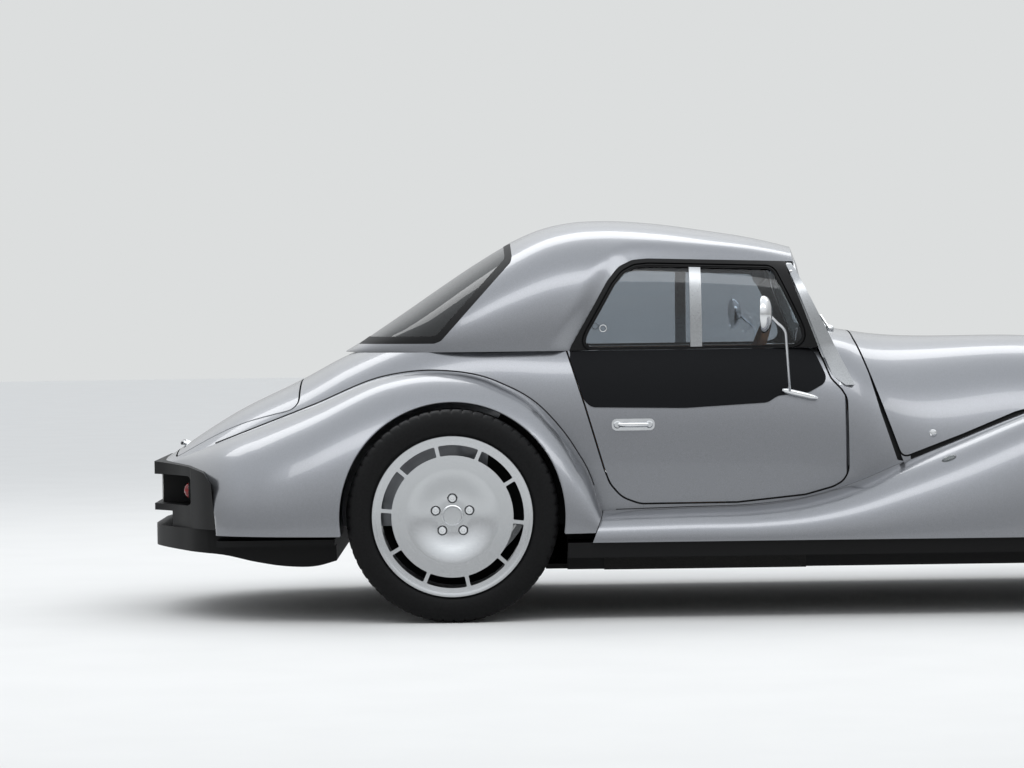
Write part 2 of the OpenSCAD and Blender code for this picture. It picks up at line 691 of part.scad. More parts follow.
// Bulkhead that follows the inside of the body and then narrows to its top edge
module bulkhead(x, top_edge, max_y) {
    low = floor_z + floor_t + seat_gap;
    zs = steps(body_bottom, bulkhead_side_z, 4);
    half = concat([[floor_y, low], [floor_y, body_bottom]],
        [for (z = zs) [min(max_y, body_y(x, z, panel_t), body_y(x + floor_t, z, panel_t)) - bulkhead_gap, z]],
        [top_edge]);
    translate([x, 0, 0]) rotate([90, 0, 90]) linear_extrude(floor_t)
        polygon(concat(half, [for (i = [len(half) - 1:-1:0]) [-half[i].x, half[i].y]]));
}
sill_back = at(-570);
sill_front = at(90);
module chassis_tub() {
    color("dimgray") {
        translate([bulkhead_x, -floor_y, floor_z])
            cube([firewall_x + floor_t - bulkhead_x, 2 * floor_y, floor_t]);
        translate([bulkhead_x, -tunnel_y, floor_z])
            cube([firewall_x - seat_gap - bulkhead_x, 2 * tunnel_y, tunnel_h]);
        both_sides() translate([sill_back, -sill_y, floor_z])
            cube([sill_front - sill_back, sill_y - floor_y + 1, sill_h]);
    }
}
// Firewall with the front rails, rear bulkhead with the boot floor
module bulkheads() {
    color("dimgray") {
        bulkhead(firewall_x, firewall_top, house_y + 400);
        bulkhead(bulkhead_x - floor_t - seat_gap, bulkhead_top, house_y - panel_t - seat_gap + bulkhead_gap);
        both_sides() translate([firewall_x, -rail_y - rail_w, rail_low])
            cube([rail_front - firewall_x, rail_w, rail_top - rail_low]);
        translate([boot_floor_back, -boot_floor_y, boot_floor_z])
            cube([bulkhead_x - floor_t - boot_floor_back, 2 * boot_floor_y, floor_t]);
    }
}
engine_x = at(660);
module engine() {
    color("gray") translate([engine_x, -engine_w / 2, rail_top + seat_gap])
        cube([engine_l, engine_w, engine_h]);
}
// Running gear; each wheel is drawn at the origin with its outer side up
bearing_gap = 0.1;
rim_lip = 12;
// Angle of the first spoke, in degrees
first_spoke = -5.5;
bolts = 5;
bolt_hole_r = 7;
// Depth of the wheel face below the rim flange
face_depth = 16;
function face_of(w) = w / 2 - 4 - face_depth;
disc_t = 16;
module wheel_place(x, y, z) { translate([x, -y, z]) rotate([90, 0, 0]) children(); }
module rim(w) {
    h = w / 2 - 4;
    disc_face = face_of(w);
    difference() {
        union() {
            rotate_extrude() polygon([[rim_r - 12, -h], [rim_r + rim_lip, -h], [rim_r + rim_lip, -h + 8],
                [rim_r, -h + 14], [rim_r - 4, 0], [rim_r, h - 14], [rim_r + rim_lip, h - 8],
                [rim_r + rim_lip, h], [rim_r - 8, h], [rim_r - 12, h - 20]]);
            rotate_extrude() polygon([[0, disc_face - 40], [70, disc_face - 40], [100, disc_face - 26],
                [disc_r, disc_face - disc_t], [rim_r - 2, disc_face - disc_t], [rim_r - 2, disc_face + 12],
                [window_r, disc_face + 9], [disc_r, disc_face + 7], [150, disc_face + 1],
                [105, disc_face - 10], [85, disc_face - 27], [62, disc_face - 30], [40, disc_face - 30],
                [36, disc_face - 18], [0, disc_face - 18]]);
        }
        translate([0, 0, disc_face - 80]) linear_extrude(200) difference() {
            circle(r = window_r);
            circle(r = disc_r);
            for (i = [0:spokes - 1])
                rotate(first_spoke + 360 / spokes * i) translate([0, -spoke_w / 2]) square([400, spoke_w]);
        }
        translate([0, 0, disc_face - 60]) cylinder(r = stub_r + bearing_gap, h = 30);
        for (i = [0:bolts - 1]) rotate(90 + 360 / bolts * i)
            translate([bolt_circle_r, 0, disc_face - 80]) cylinder(r = bolt_hole_r, h = 120);
    }
}
// Half of a tyre section, from the bead to the middle of the tread
function tyre_half(r, h) = [[rim_r + 0.5, h - 18.5], [rim_r + rim_lip + 0.5, h - 12.5],
    [rim_r + rim_lip + 6, h - 9], [rim_r + rim_lip + 32, h], [r - 30, h - 3], [r - 10, h - 14],
    [r - 2, h - 30], [r, h - 50]];
module tyre(r, w) {
    half = tyre_half(r, w / 2);
    rotate_extrude() polygon(concat(half, [for (i = [len(half) - 1:-1:0]) [half[i].x, -half[i].y]]));
}
module front_wheel_place() { wheel_place(front_x, front_half_track, front_tyre_r) children(); }
module rear_wheel_place() { wheel_place(rear_x, rear_half_track, rear_tyre_r) children(); }
module front_rim() { color("silver") front_wheel_place() rim(front_tyre_w); }
module rear_rim() { color("silver") rear_wheel_place() rim(rear_tyre_w); }
module front_tyre() { color("black") front_wheel_place() tyre(front_tyre_r, front_tyre_w); }
module rear_tyre() { color("black") rear_wheel_place() tyre(rear_tyre_r, rear_tyre_w); }
brake_r = 168;
// How far a stub reaches out of the middle of the tyre
function stub_end(w) = face_of(w) - 31;
module knuckle() {
    color("dimgray") {
        front_wheel_place() {
            translate([0, 0, -30]) cylinder(r = stub_r, h = stub_end(front_tyre_w) + 30);
            translate([0, 0, 22]) cylinder(r = brake_r, h = 14);
        }
        translate([front_x, -front_half_track, front_tyre_r - 80]) cylinder(r = 20, h = 160);
    }
}
module front_axle() {
    color("dimgray") {
        translate([front_x - 60, -360, floor_z + 0.3]) cube([120, 720, 39.4]);
        both_sides() {
            translate([front_x - 30, -360, floor_z + 20]) cube([60, 60, 300]);
            for (z = [-100, 100]) {
                rod([front_x, -330, front_tyre_r + z], [front_x, -front_half_track, front_tyre_r + z], 13);
                translate([front_x, -front_half_track, front_tyre_r + z]) sphere(r = 19.7);
            }
        }
    }
}
spring_y = 330;
spring_r = 45;
module rear_axle() {
    color("dimgray") {
        both_sides() {
            rear_wheel_place() {
                translate([0, 0, -rear_half_track]) cylinder(r = 40, h = rear_half_track);
                translate([0, 0, -1]) cylinder(r = stub_r, h = stub_end(rear_tyre_w) + 1);
                translate([0, 0, 22]) cylinder(r = brake_r, h = 14);
            }
            translate([rear_x, -spring_y, rear_tyre_r])
                cylinder(r = spring_r, h = boot_floor_z - seat_gap - rear_tyre_r);
        }
        translate([rear_x, 0, rear_tyre_r]) sphere(r = 110);
    }
}
// Cabin
module seat() {
    low = floor_z + floor_t + seat_gap;
    color("tan") translate([0, -seat_y + seat_w / 2, 0]) rotate([90, 0, 0]) linear_extrude(seat_w)
        polygon(outline([[-640, low], [-150, low], [-110, low + 60], [-100, 330], [-130, 352], [-500, 318],
            [-548, 330], [-620, 640], [-632, 770], [-660, 800], [-700, 796], [-716, 750], [-712, 620]]));
}
dash_x = at(170);
module dash() {
    color("tan") {
        rotate([90, 0, 0]) linear_extrude(1000, center = true)
            polygon([[firewall_x, 620], [dash_x + 30, 620], [dash_x, 660], [dash_x, 780], [dash_x + 26, 806],
                [firewall_x, 812]]);
        steering_place() translate([0, 0, column_l + seat_gap]) cylinder(r = column_r + 8, h = 60);
    }
}
column_l = 200;
steering_lean = 110;
module steering_place() { translate([at(-60), -seat_y, 800]) rotate([0, steering_lean, 0]) children(); }
module steering_wheel() {
    color("saddlebrown") steering_place() {
        rotate_extrude() translate([steering_r - 13, 0]) circle(r = 13);
        for (i = [0:2]) rotate(90 + 120 * i) translate([0, -12, -4]) cube([steering_r - 16, 24, 8]);
        cylinder(r = 36, h = 30);
        cylinder(r = column_r, h = column_l);
    }
}
module left() { mirror([0, 1, 0]) children(); }
chassis_tub();
bulkheads();
engine();
scuttle();
nose_cowl();
grille();
front_splitter();
headlamps();
headlamp_lenses();
front_wing();  // front_wing_right
left() front_wing();  // front_wing_left
rear_wing();  // rear_wing_right
left() rear_wing();  // rear_wing_left
rear_body();
rear_fascia();
tail_lamps();
undertray();
side_skirts();
hardtop();
rear_window();
windscreen_frame();
windscreen();
hinge_pins();
seat();  // seat_right
left() seat();  // seat_left
dash();
steering_wheel();
front_axle();
rear_axle();
knuckle();  // knuckle_right
left() knuckle();  // knuckle_left
front_rim();  // rim_front_right
left() front_rim();  // rim_front_left
rear_rim();  // rim_rear_right
left() rear_rim();  // rim_rear_left
front_tyre();  // tyre_front_right
left() front_tyre();  // tyre_front_left
rear_tyre();  // tyre_rear_right
left() rear_tyre();  // tyre_rear_left
door();  // door_right
left() door();  // door_left
side_screen();  // side_screen_right
left() side_screen();  // side_screen_left
side_glass();  // side_glass_right
left() side_glass();  // side_glass_left
door_fittings();  // door_fittings_right
left() door_fittings();  // door_fittings_left
bonnet();
boot_lid();
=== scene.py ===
import json
import math

import bmesh
import bpy
import numpy as np
from mathutils import Matrix, Vector

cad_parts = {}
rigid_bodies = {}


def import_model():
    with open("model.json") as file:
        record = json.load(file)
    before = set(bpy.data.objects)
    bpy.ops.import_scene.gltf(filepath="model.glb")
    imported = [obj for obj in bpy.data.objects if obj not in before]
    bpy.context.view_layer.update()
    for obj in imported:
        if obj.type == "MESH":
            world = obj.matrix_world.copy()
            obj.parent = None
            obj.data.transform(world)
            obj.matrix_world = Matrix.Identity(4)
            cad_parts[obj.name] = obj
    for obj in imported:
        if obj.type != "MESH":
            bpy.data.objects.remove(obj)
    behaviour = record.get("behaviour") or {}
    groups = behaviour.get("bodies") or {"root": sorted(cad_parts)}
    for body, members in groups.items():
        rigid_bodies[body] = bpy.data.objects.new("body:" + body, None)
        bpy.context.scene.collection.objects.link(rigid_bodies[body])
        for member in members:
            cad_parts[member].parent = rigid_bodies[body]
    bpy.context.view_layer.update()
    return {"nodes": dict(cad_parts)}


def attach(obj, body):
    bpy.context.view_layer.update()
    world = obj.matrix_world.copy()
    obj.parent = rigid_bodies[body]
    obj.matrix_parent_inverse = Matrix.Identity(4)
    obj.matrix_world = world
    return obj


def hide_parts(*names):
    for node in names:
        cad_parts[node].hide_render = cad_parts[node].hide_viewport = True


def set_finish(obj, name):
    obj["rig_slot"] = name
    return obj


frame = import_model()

# The forms are worked out in millimetres, as the car was drawn, and made in metres
MM = 0.001
REAR_X, FRONT_X = -1060, 1460
REAR_R, FRONT_R = 343, 335
REAR_TRACK, FRONT_TRACK = 757, 758
REAR_W, FRONT_W = 255, 235
REAR_ARCH, FRONT_ARCH = 366, 372
BELT, BOTTOM = 866, 300
TAIL, NOSE = -2070, 2070
# Gap round doors and lids, and the gap of pieces that seat on each other
SHUT, SEAT_GAP = 6, 0.3

# Body sections: station, half width, crown height, squareness
BODY = np.array([
    [TAIL + 34, 400, 520, 3], [-1800, 500, 668, 3], [-1573, 560, 777, 3], [-1425, 584, 854, 3.2],
    [-1060, 606, 955, 4.5], [-683, 668, 962, 4.5], [-300, 686, 960, 4.5], [100, 668, 945, 4.3],
    [250, 648, 922, 4], [330, 634, 909, 3.4], [900, 505, 890, 2.7], [1460, 398, 848, 2.5],
    [1900, 312, 765, 2.5], [NOSE - 70, 286, 705, 2.5]])
# Hard top sections: station, half width at the belt, crown height, squareness
TOP = np.array([
    [-1428, 40, 870, 2.4], [-1400, 165, 886, 2.4], [-1330, 300, 932, 2.4], [-1220, 425, 1005, 2.4],
    [-1100, 512, 1086, 2.5], [-980, 558, 1164, 2.6], [-863, 577, 1231, 2.7], [-760, 586, 1274, 2.8],
    [-660, 590, 1295, 2.9], [-553, 592, 1300, 3], [-382, 592, 1289, 3.1], [-210, 588, 1264, 3.3],
    [-39, 582, 1234, 3.5], [64, 577, 1208, 3.6], [200, 570, 1168, 3.6]])
# Rear wing sections: station, height of the crease, half width, squareness
REAR_WING = np.array([
    [-2010, 511, 340, 2.2], [-1932, 540, 550, 2.2], [-1829, 580, 722, 2.3], [-1700, 629, 815, 2.3],
    [-1524, 696, 874, 2.4], [-1285, 789, 899, 2.4], [-1101, 806, 902, 2.4], [-909, 767, 899, 2.4],
    [-753, 668, 890, 2.4], [-660, 548, 872, 2.4], [-613, 461, 862, 2.4], [-581, 365, 856, 2.4],
    [-560, 300, 852, 2.4]])
# Front wing sections: station, height of the junction with the body, height and half width of the crest,
# outer half width, height of the lower edge
FRONT_WING = np.array([
    [-640, 344, 346, 700, 862, 252], [-300, 352, 354, 708, 866, 252], [-69, 358, 361, 700, 868, 252],
    [86, 376, 380, 692, 870, 252], [250, 420, 425, 676, 874, 252], [394, 476, 482, 662, 878, 252],
    [600, 552, 560, 660, 882, 252], [799, 622, 636, 672, 885, 252], [1060, 690, 722, 700, 888, 252],
    [1270, 712, 772, 716, 888, 252], [1460, 706, 788, 720, 888, 252], [1650, 672, 768, 718, 886, 290],
    [1800, 612, 704, 710, 874, 304], [1920, 530, 590, 690, 842, 314], [2000, 430, 470, 660, 790, 330]])
HEADLAMP = (1790, -530, 706)
WING_GAP = 2
WING_EDGE = 14
WING_BOTTOM = 283

# Side outlines, x and z
DOOR_FRONT = 233
DOOR = [(-690, 896), (-684, 871), (-626, 686), (-567, 483), (-548, 432), (-510, 388), (-451, 366),
    (-133, 367), (89, 388), (180, 412), (215, 430), (DOOR_FRONT, 462), (DOOR_FRONT, 700), (216, 728),
    (182, 764),
    (174, 784), (144, 862), (132, 896)]
WINDOW = [(-654, BELT), (-572, 1008), (-530, 1082), (-496, 1124), (-456, 1144), (-410, 1148), (-10, 1135),
    (8, 1122), (127, BELT)]
TOP_OPENING = [(-674, 826), (-674, 870), (-590, 1016), (-546, 1094), (-508, 1140), (-462, 1162), (-412, 1166),
    (60, 1151), (400, 1140), (400, 826)]
FLAP = [(-672, 865), (-672, 838), (-630, 706), (-606, 682), (-300, 676), (-30, 690), (6, 712), (110, 722),
    (160, 750), (166, 772), (127, 865)]
REAR_GLASS = [(-1600, 894), (-1118, 894), (-1096, 902), (-862, 1160), (-858, 1180), (-884, 1400),
    (-1600, 1400)]
BONNET_FRONT = 1880
BONNET = [(262, 1000), (273, 893), (331, 727), (412, 500), (620, 572), (799, 640), (1060, 706), (1270, 728),
    (1460, 722), (1650, 688), (1800, 630), (BONNET_FRONT, 580), (BONNET_FRONT, 1100), (262, 1100)]
VENT = [(300, 815), (416, 490), (396, 494), (345, 650)]
PILLAR = [(46, 1146), (66, 1146), (262, 738), (246, 730), (188, 772)]
WING_JOINT = [(-616, 240), (-571, 352), (-540, 420)]
TAIL_CUT = [(-1829, 240), (-1832, 300), (-1848, 447), (-1874, 485), (-1932, 501), (-2100, 516), (-2100, 240)]
# Plan outline of the boot lid, x and y
BOOT = [(-1573, 436), (-1573, -436), (-1996, -268), (-1996, 268)]


def linear(hex_colour):
    """Linear colour of an sRGB hex value"""
    parts = [int(hex_colour[i:i + 2], 16) / 255 for i in (1, 3, 5)]
    return tuple(c / 12.92 if c < 0.04045 else ((c + 0.055) / 1.055) ** 2.4 for c in parts) + (1.0,)


def add(tree, kind, inputs=None, **settings):
    """Add one node; an input given as a socket is linked, any other value is set on it"""
    made = tree.nodes.new(kind)
    for name, value in settings.items():
        setattr(made, name, value)
    for name, value in (inputs or {}).items():
        if isinstance(value, bpy.types.NodeSocket):
            tree.links.new(value, made.inputs[name])
        else:
            made.inputs[name].default_value = value
    return made


def material(name, shader, build=None):
    """New material; its build function returns more shader inputs from its own pattern nodes"""
    made = bpy.data.materials.new(name)
    made.use_nodes = True
    tree = made.node_tree
    tree.nodes.clear()
    surface = add(tree, "ShaderNodeBsdfPrincipled", {**shader, **(build(tree) if build else {})})
    add(tree, "ShaderNodeOutputMaterial", {"Surface": surface.outputs["BSDF"]})
    return made


def speckle(tree, size_mm):
    """Noise over the object whose patches are about size_mm across"""
    place = add(tree, "ShaderNodeTexCoord")
    return add(tree, "ShaderNodeTexNoise",
        {"Vector": place.outputs["Object"], "Scale": 1000 / size_mm, "Detail": 2.0}).outputs["Fac"]


def ramp(tree, fac, stops):
    """Colour ramp from (position, sRGB hex) stops"""
    made = add(tree, "ShaderNodeValToRGB", {"Fac": fac})
    elements = made.color_ramp.elements
    for i, (position, colour) in enumerate(stops):
        element = elements[i] if i < 2 else elements.new(position)
        element.position = position
        element.color = linear(colour)
    return made.outputs["Color"]


def bump(tree, height, depth_mm):
    """Normal of a surface whose relief is depth_mm deep"""
    made = add(tree, "ShaderNodeBump", {"Height": height, "Strength": 1.0, "Distance": depth_mm * MM})
    return made.outputs["Normal"]


def span(tree, fac, low, high):
    """Number that goes from low to high with fac"""
    made = add(tree, "ShaderNodeMapRange", {"Value": fac, "To Min": low, "To Max": high})
    return made.outputs["Result"]


def along(table, column, x):
    """Smooth value of a table's column at the stations x"""
    t, v = table[:, 0], table[:, column]
    h = np.diff(t)
    s = np.diff(v) / h
    m = np.concatenate([[s[0]], (h[1:] * s[:-1] + h[:-1] * s[1:]) / (h[1:] + h[:-1]), [s[-1]]])
    x = np.clip(np.asarray(x, float), t[0], t[-1])
    i = np.clip(np.searchsorted(t, x, side="right") - 1, 0, len(t) - 2)
    u = (x - t[i]) / h[i]
    return ((1 + 2 * u) * (1 - u) ** 2 * v[i] + u * (1 - u) ** 2 * h[i] * m[i]
        + u ** 2 * (3 - 2 * u) * v[i + 1] + u ** 2 * (u - 1) * h[i] * m[i + 1])


def power(v, p):
    """Power of a number that keeps its sign"""
    return np.sign(v) * np.abs(v) ** p


def body_points(x, a, d=0):
    """Points of the body skin at stations x and angles a round the section, d below the surface"""
    n = along(BODY, 3, x)
    return np.stack([x + 0 * a, (along(BODY, 1, x) - d) * power(np.cos(a), 2 / n),
        BOTTOM + (along(BODY, 2, x) - d - BOTTOM) * np.abs(np.sin(a)) ** (2 / n)], axis=-1)


def body_y(x, z, d=0):
    """Half width of the body at height z"""
    n = along(BODY, 3, x)
    s = np.clip((z - BOTTOM) / (along(BODY, 2, x) - d - BOTTOM), 0, 0.999)
    return (along(BODY, 1, x) - d) * (1 - s ** n) ** (1 / n)


def top_points(x, a, d=0):
    """Points of the hard top at stations x and angles a round the section, d below the surface"""
    n = along(TOP, 3, x)
    width = np.maximum(12, along(TOP, 1, x) - d)
    height = np.maximum(2, along(TOP, 2, x) - d - BELT)
    return np.stack([x + 0 * a, width * power(np.cos(a), 2 / n),
        BELT + height * np.abs(np.sin(a)) ** (2 / n)], axis=-1)


def top_y(x, z, d=0):
    """Half width of the hard top at height z"""
    n = along(TOP, 3, x)
    s = np.clip((z - BELT) / (along(TOP, 2, x) - d - BELT), 0, 0.999)
    return (along(TOP, 1, x) - d) * (1 - s ** n) ** (1 / n)


def grid(xs, angles):
    """Stations and angles at each point of a grid"""
    return np.meshgrid(np.asarray(xs, float), np.asarray(angles, float), indexing="ij")


def round_angles(cols, start=0.0, end=1.0, ease=1.8):
    """Angles over a section from its left foot to its right foot, closer together at the shoulders"""
    u = np.linspace(start, end, cols + 1) * 2
    v = np.where(u < 1, u, 2 - u)
    b = v ** ease / (v ** ease + (1 - v) ** ease)
    return np.where(u < 1, b, 2 - b) * math.pi / 2


def solid(points, faces):
    """Closed mesh object from points in millimetres, with its faces turned outward"""
    mesh = bpy.data.meshes.new("made")
    mesh.from_pydata((np.asarray(points, float) * MM).tolist(), [], faces)
    work = bmesh.new()
    work.from_mesh(mesh)
    bmesh.ops.recalc_face_normals(work, faces=work.faces)
    if work.calc_volume(signed=True) < 0:
        bmesh.ops.reverse_faces(work, faces=work.faces)
    work.to_mesh(mesh)
    work.free()
    made = bpy.data.objects.new("made", mesh)
    bpy.context.scene.collection.objects.link(made)
    return made


def shell(outer, inner):
    """Closed solid between two grids of points"""
    rows, cols = outer.shape[0] - 1, outer.shape[1] - 1
    def o(r, c): return r * (cols + 1) + c
    def i(r, c): return (rows + 1) * (cols + 1) + o(r, c)
    faces = []
    for r in range(rows):
        for c in range(cols):
            faces.append((o(r, c), o(r, c + 1), o(r + 1, c + 1), o(r + 1, c)))
            faces.append((i(r, c), i(r + 1, c), i(r + 1, c + 1), i(r, c + 1)))
    for c in range(cols):
        faces.append((o(0, c), i(0, c), i(0, c + 1), o(0, c + 1)))
        faces.append((o(rows, c), o(rows, c + 1), i(rows, c + 1), i(rows, c)))
    for r in range(rows):
        faces.append((o(r, 0), o(r + 1, 0), i(r + 1, 0), i(r, 0)))
        faces.append((o(r, cols), i(r, cols), i(r + 1, cols), o(r + 1, cols)))
    return solid(np.concatenate([outer.reshape(-1, 3), inner.reshape(-1, 3)]), faces)


PLANES = {"xz": (0, 2, 1), "xy": (0, 1, 2), "yz": (1, 2, 0)}


def prism(points, plane, low, high):
    """Outline in one plane pushed through from low to high along the third axis"""
    a, b, c = PLANES[plane]
    n = len(points)
    made = np.zeros((2 * n, 3))
    made[:, a] = [p[0] for p in points] * 2
    made[:, b] = [p[1] for p in points] * 2
    made[:n, c], made[n:, c] = low, high
    faces = [tuple(range(n)), tuple(range(2 * n - 1, n - 1, -1))]
    faces += [(k, (k + 1) % n, n + (k + 1) % n, n + k) for k in range(n)]
    return solid(made, faces)


def across(points):
    """Side outline pushed through the whole width of the car"""
    return prism(points, "xz", -1200, 1200)


def block(x, y, z):
    """Box between pairs of limits"""
    return prism([(x[0], y[0]), (x[1], y[0]), (x[1], y[1]), (x[0], y[1])], "xy", z[0], z[1])


def wrapped(rings, sides, joins):
    """Faces of a tube: each ring of points is joined to the next one"""
    return [(k * sides + j, k * sides + (j + 1) % sides, (k + 1) % rings * sides + (j + 1) % sides,
        (k + 1) % rings * sides + j) for k in range(joins) for j in range(sides)]


# Order in which the cosine, the sine and the place along the axis go to x, y and z
TURN_AXES = {"x": [2, 0, 1], "y": [0, 2, 1], "z": [0, 1, 2]}


def revolve(profile, centre, axis="y", segments=96):
    """Closed profile of (radius, place along the axis) turned round an axis through centre"""
    t = np.linspace(0, 2 * math.pi, segments, endpoint=False)
    r, h = np.asarray(profile, float).T
    rings = np.stack([np.outer(v, w) for v, w in ((np.cos(t), r), (np.sin(t), r), (np.ones(segments), h))],
        axis=-1)
    points = (rings[..., TURN_AXES[axis]] + np.asarray(centre, float)).reshape(-1, 3)
    made = solid(points, wrapped(segments, len(profile), segments))
    work = bmesh.new()
    work.from_mesh(made.data)
    bmesh.ops.remove_doubles(work, verts=work.verts, dist=0.01 * MM)
    bmesh.ops.dissolve_degenerate(work, edges=work.edges, dist=0.005 * MM)
    bmesh.ops.recalc_face_normals(work, faces=work.faces)
    work.to_mesh(made.data)
    work.free()
    return made


def turned_to(obj, centre, turn):
    """Move an object drawn at the origin to its place, turned"""
    obj.data.transform(Matrix.Translation(Vector(centre) * MM) @ turn)
    return obj


def ball(centre, radii, turn=Matrix()):
    """Ellipsoid with its half sizes"""
    half = [(math.sin(t), math.cos(t)) for t in np.linspace(0, math.pi, 17)]
    made = revolve(half, (0, 0, 0), "z", 32)
    made.data.transform(Matrix.Diagonal((*radii, 1)))
    return turned_to(made, centre, turn)


def tube(path, radius, sides=12):
    """Round bar along a path, with one radius or one for each point"""
    path = np.asarray(path, float)
    n = len(path)
    step = np.roll(path, -1, 0) - np.roll(path, 1, 0)
    step[0], step[-1] = path[1] - path[0], path[-1] - path[-2]
    step /= np.linalg.norm(step, axis=1)[:, None]
    side = np.cross(step[0], (0, 0, 1) if abs(step[0][2]) < 0.9 else (0, 1, 0))
    radius = np.broadcast_to(np.asarray(radius, float), (n,))
    points = []
    for k in range(n):
        side = side - step[k] * side.dot(step[k])
        side /= np.linalg.norm(side)
        up = np.cross(side, step[k])
        for j in range(sides):
            a = 2 * math.pi * j / sides
            points.append(path[k] + radius[k] * (math.cos(a) * side + math.sin(a) * up))
    ends = [tuple(range(sides)), tuple(range((n - 1) * sides, n * sides))]
    return solid(points, wrapped(n, sides, n - 1) + ends)


def applied(obj):
    """Replace the object's mesh by what its modifiers make of it"""
    mesh = bpy.data.meshes.new_from_object(obj.evaluated_get(bpy.context.evaluated_depsgraph_get()))
    obj.modifiers.clear()
    obj.data = mesh
    return obj


def boolean(obj, operation, *tools):
    """Apply Boolean steps to an object and take the tools away"""
    for tool in tools:
        step = obj.modifiers.new("cut", "BOOLEAN")
        step.solver = "MANIFOLD"
        step.operation = operation
        step.object = tool
        applied(obj)
        bpy.data.objects.remove(tool)
    return obj


def cut(obj, *tools):
    return boolean(obj, "DIFFERENCE", *tools)


def keep(obj, *tools):
    return boolean(obj, "INTERSECT", *tools)


def area(points):
    """Area inside an outline, with the sign of the way it turns"""
    return sum(p[0] * q[1] - q[0] * p[1] for p, q in zip(points, points[1:] + points[:1])) / 2


def grown(points, d):
    """Outline moved outward by d with sharp corners"""
    d = d if area(points) > 0 else -d
    made = []
    for k, p in enumerate(points):
        a, b = Vector(points[k - 1]), Vector(points[(k + 1) % len(points)])
        u, v = (Vector(p) - a).normalized(), (b - Vector(p)).normalized()
        n, m = Vector((u.y, -u.x)), Vector((v.y, -v.x))
        made.append(tuple(Vector(p) + (n + m) * d / max(0.2, 1 + n.dot(m))))
    return made


def rounded(points, radius, steps=6):
    """Outline with its corners rounded"""
    made = []
    for k, p in enumerate(points):
        p = Vector(p)
        a, b = Vector(points[k - 1]) - p, Vector(points[(k + 1) % len(points)]) - p
        angle = a.angle(b)
        reach = min(radius / math.tan(angle / 2), 0.48 * a.length, 0.48 * b.length) if angle < 3.1 else 0
        if reach < 0.01:
            made.append(tuple(p))
            continue
        s, e = p + a.normalized() * reach, p + b.normalized() * reach
        for j in range(steps + 1):
            t = j / steps
            made.append(tuple(s * (1 - t) ** 2 + p * 2 * t * (1 - t) + e * t ** 2))
    return made


def riding(obj, body, nodes, slot):
    """Let a piece ride on a body in the place of nodes, with its slot"""
    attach(obj, body)
    if nodes:
        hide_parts(*nodes)
    if slot:
        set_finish(obj, slot)
    return obj


def piece(obj, name, mats, body, *nodes, sharp=30):
    """Name a piece, give it its finish and slot, shade it smooth but for its edges, let it ride on a body"""
    obj.name = obj.data.name = name
    mats = mats if isinstance(mats, list) else [mats]
    obj.data.materials.clear()
    for mat in mats:
        obj.data.materials.append(mat)
    obj.data.shade_smooth()
    obj.data.set_sharp_from_angle(angle=math.radians(sharp))
    return riding(obj, body, nodes, SLOT_OF.get(mats[0]))


def left_of(obj, name, body, *nodes):
    """Mirrored copy for the left side of the car"""
    made = bpy.data.objects.new(name, obj.data.copy())
    bpy.context.scene.collection.objects.link(made)
    made.data.transform(Matrix.Scale(-1, 4, (0, 1, 0)))
    made.data.flip_normals()
    made.data.name = name
    return riding(made, body, nodes, obj.get("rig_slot"))


def tint(obj, test):
    """Give the faces whose middle passes the test the second material of the piece"""
    for face in obj.data.polygons:
        if test(np.array(face.center) / MM, np.array(face.normal)):
            face.material_index = 1


def pair(obj, name, mats, body, *nodes, sharp=30, second=None):
    """The piece on the right and its mirror image on the left; body and nodes are named without their side"""
    bodies = ["door_right", "door_left"] if body == "door" else [body, body]
    piece(obj, name + "_right", mats, bodies[0], *[n + "_right" for n in nodes], sharp=sharp)
    if second:
        tint(obj, second)
    left_of(obj, name + "_left", bodies[1], *[n + "_left" for n in nodes])


# Finishes
def grained(size_mm, depth_mm, dark, light, rough=None, edge=0.35):
    """Pattern from one noise: two shades and, where they are given, two roughnesses and a bump"""
    def build(tree):
        fac = speckle(tree, size_mm)
        made = {"Base Color": ramp(tree, fac, [(edge, dark), (1 - edge, light)])}
        if rough:
            made["Roughness"] = span(tree, fac, *rough)
        if depth_mm:
            made["Normal"] = bump(tree, fac, depth_mm)
        return made
    return build


def leather_grain(tree):
    """Pebbles about 2.5 mm across with fine creases between them"""
    place = add(tree, "ShaderNodeTexCoord")
    cells = add(tree, "ShaderNodeTexVoronoi", {"Vector": place.outputs["Object"], "Scale": 400.0},
        feature="DISTANCE_TO_EDGE").outputs["Distance"]
    return {"Base Color": ramp(tree, speckle(tree, 60), [(0.3, "#8e5c34"), (0.7, "#a97245")]),
        "Normal": bump(tree, cells, 0.3), "Roughness": span(tree, cells, 0.62, 0.42)}


# Sprayed metallic lacquer under a clear coat: a fine glitter below a wet gloss
PAINT = material("lacquer_silver_sprayed", {"Metallic": 0.85, "Coat Weight": 1.0, "Coat Roughness": 0.03},
    grained(1.5, 0, "#7e8084", "#8d8f94", (0.26, 0.36)))
# Moulded black polymer: matt with a fine tool grain
TRIM = material("polymer_black_moulded", {"Specular IOR Level": 0.2},
    grained(1.2, 0.12, "#070708", "#0d0d0e", (0.42, 0.58)))
# Coated cloth over foam: almost no gloss, a close weave
VINYL = material("vinyl_black_woven", {"Specular IOR Level": 0.12},
    grained(1.0, 0.2, "#0c0d0f", "#141518", (0.6, 0.75)))
# Extruded rubber: dull black with a soft highlight
RUBBER = material("rubber_black_extruded", {"Specular IOR Level": 0.2},
    grained(4, 0.05, "#0c0c0d", "#131314", (0.5, 0.6)))
# Tread rubber from a mould: dark grey, slightly dusty
TYRE = material("rubber_tread_moulded", {"Specular IOR Level": 0.16},
    grained(6, 0.15, "#080809", "#101011", (0.5, 0.65)))
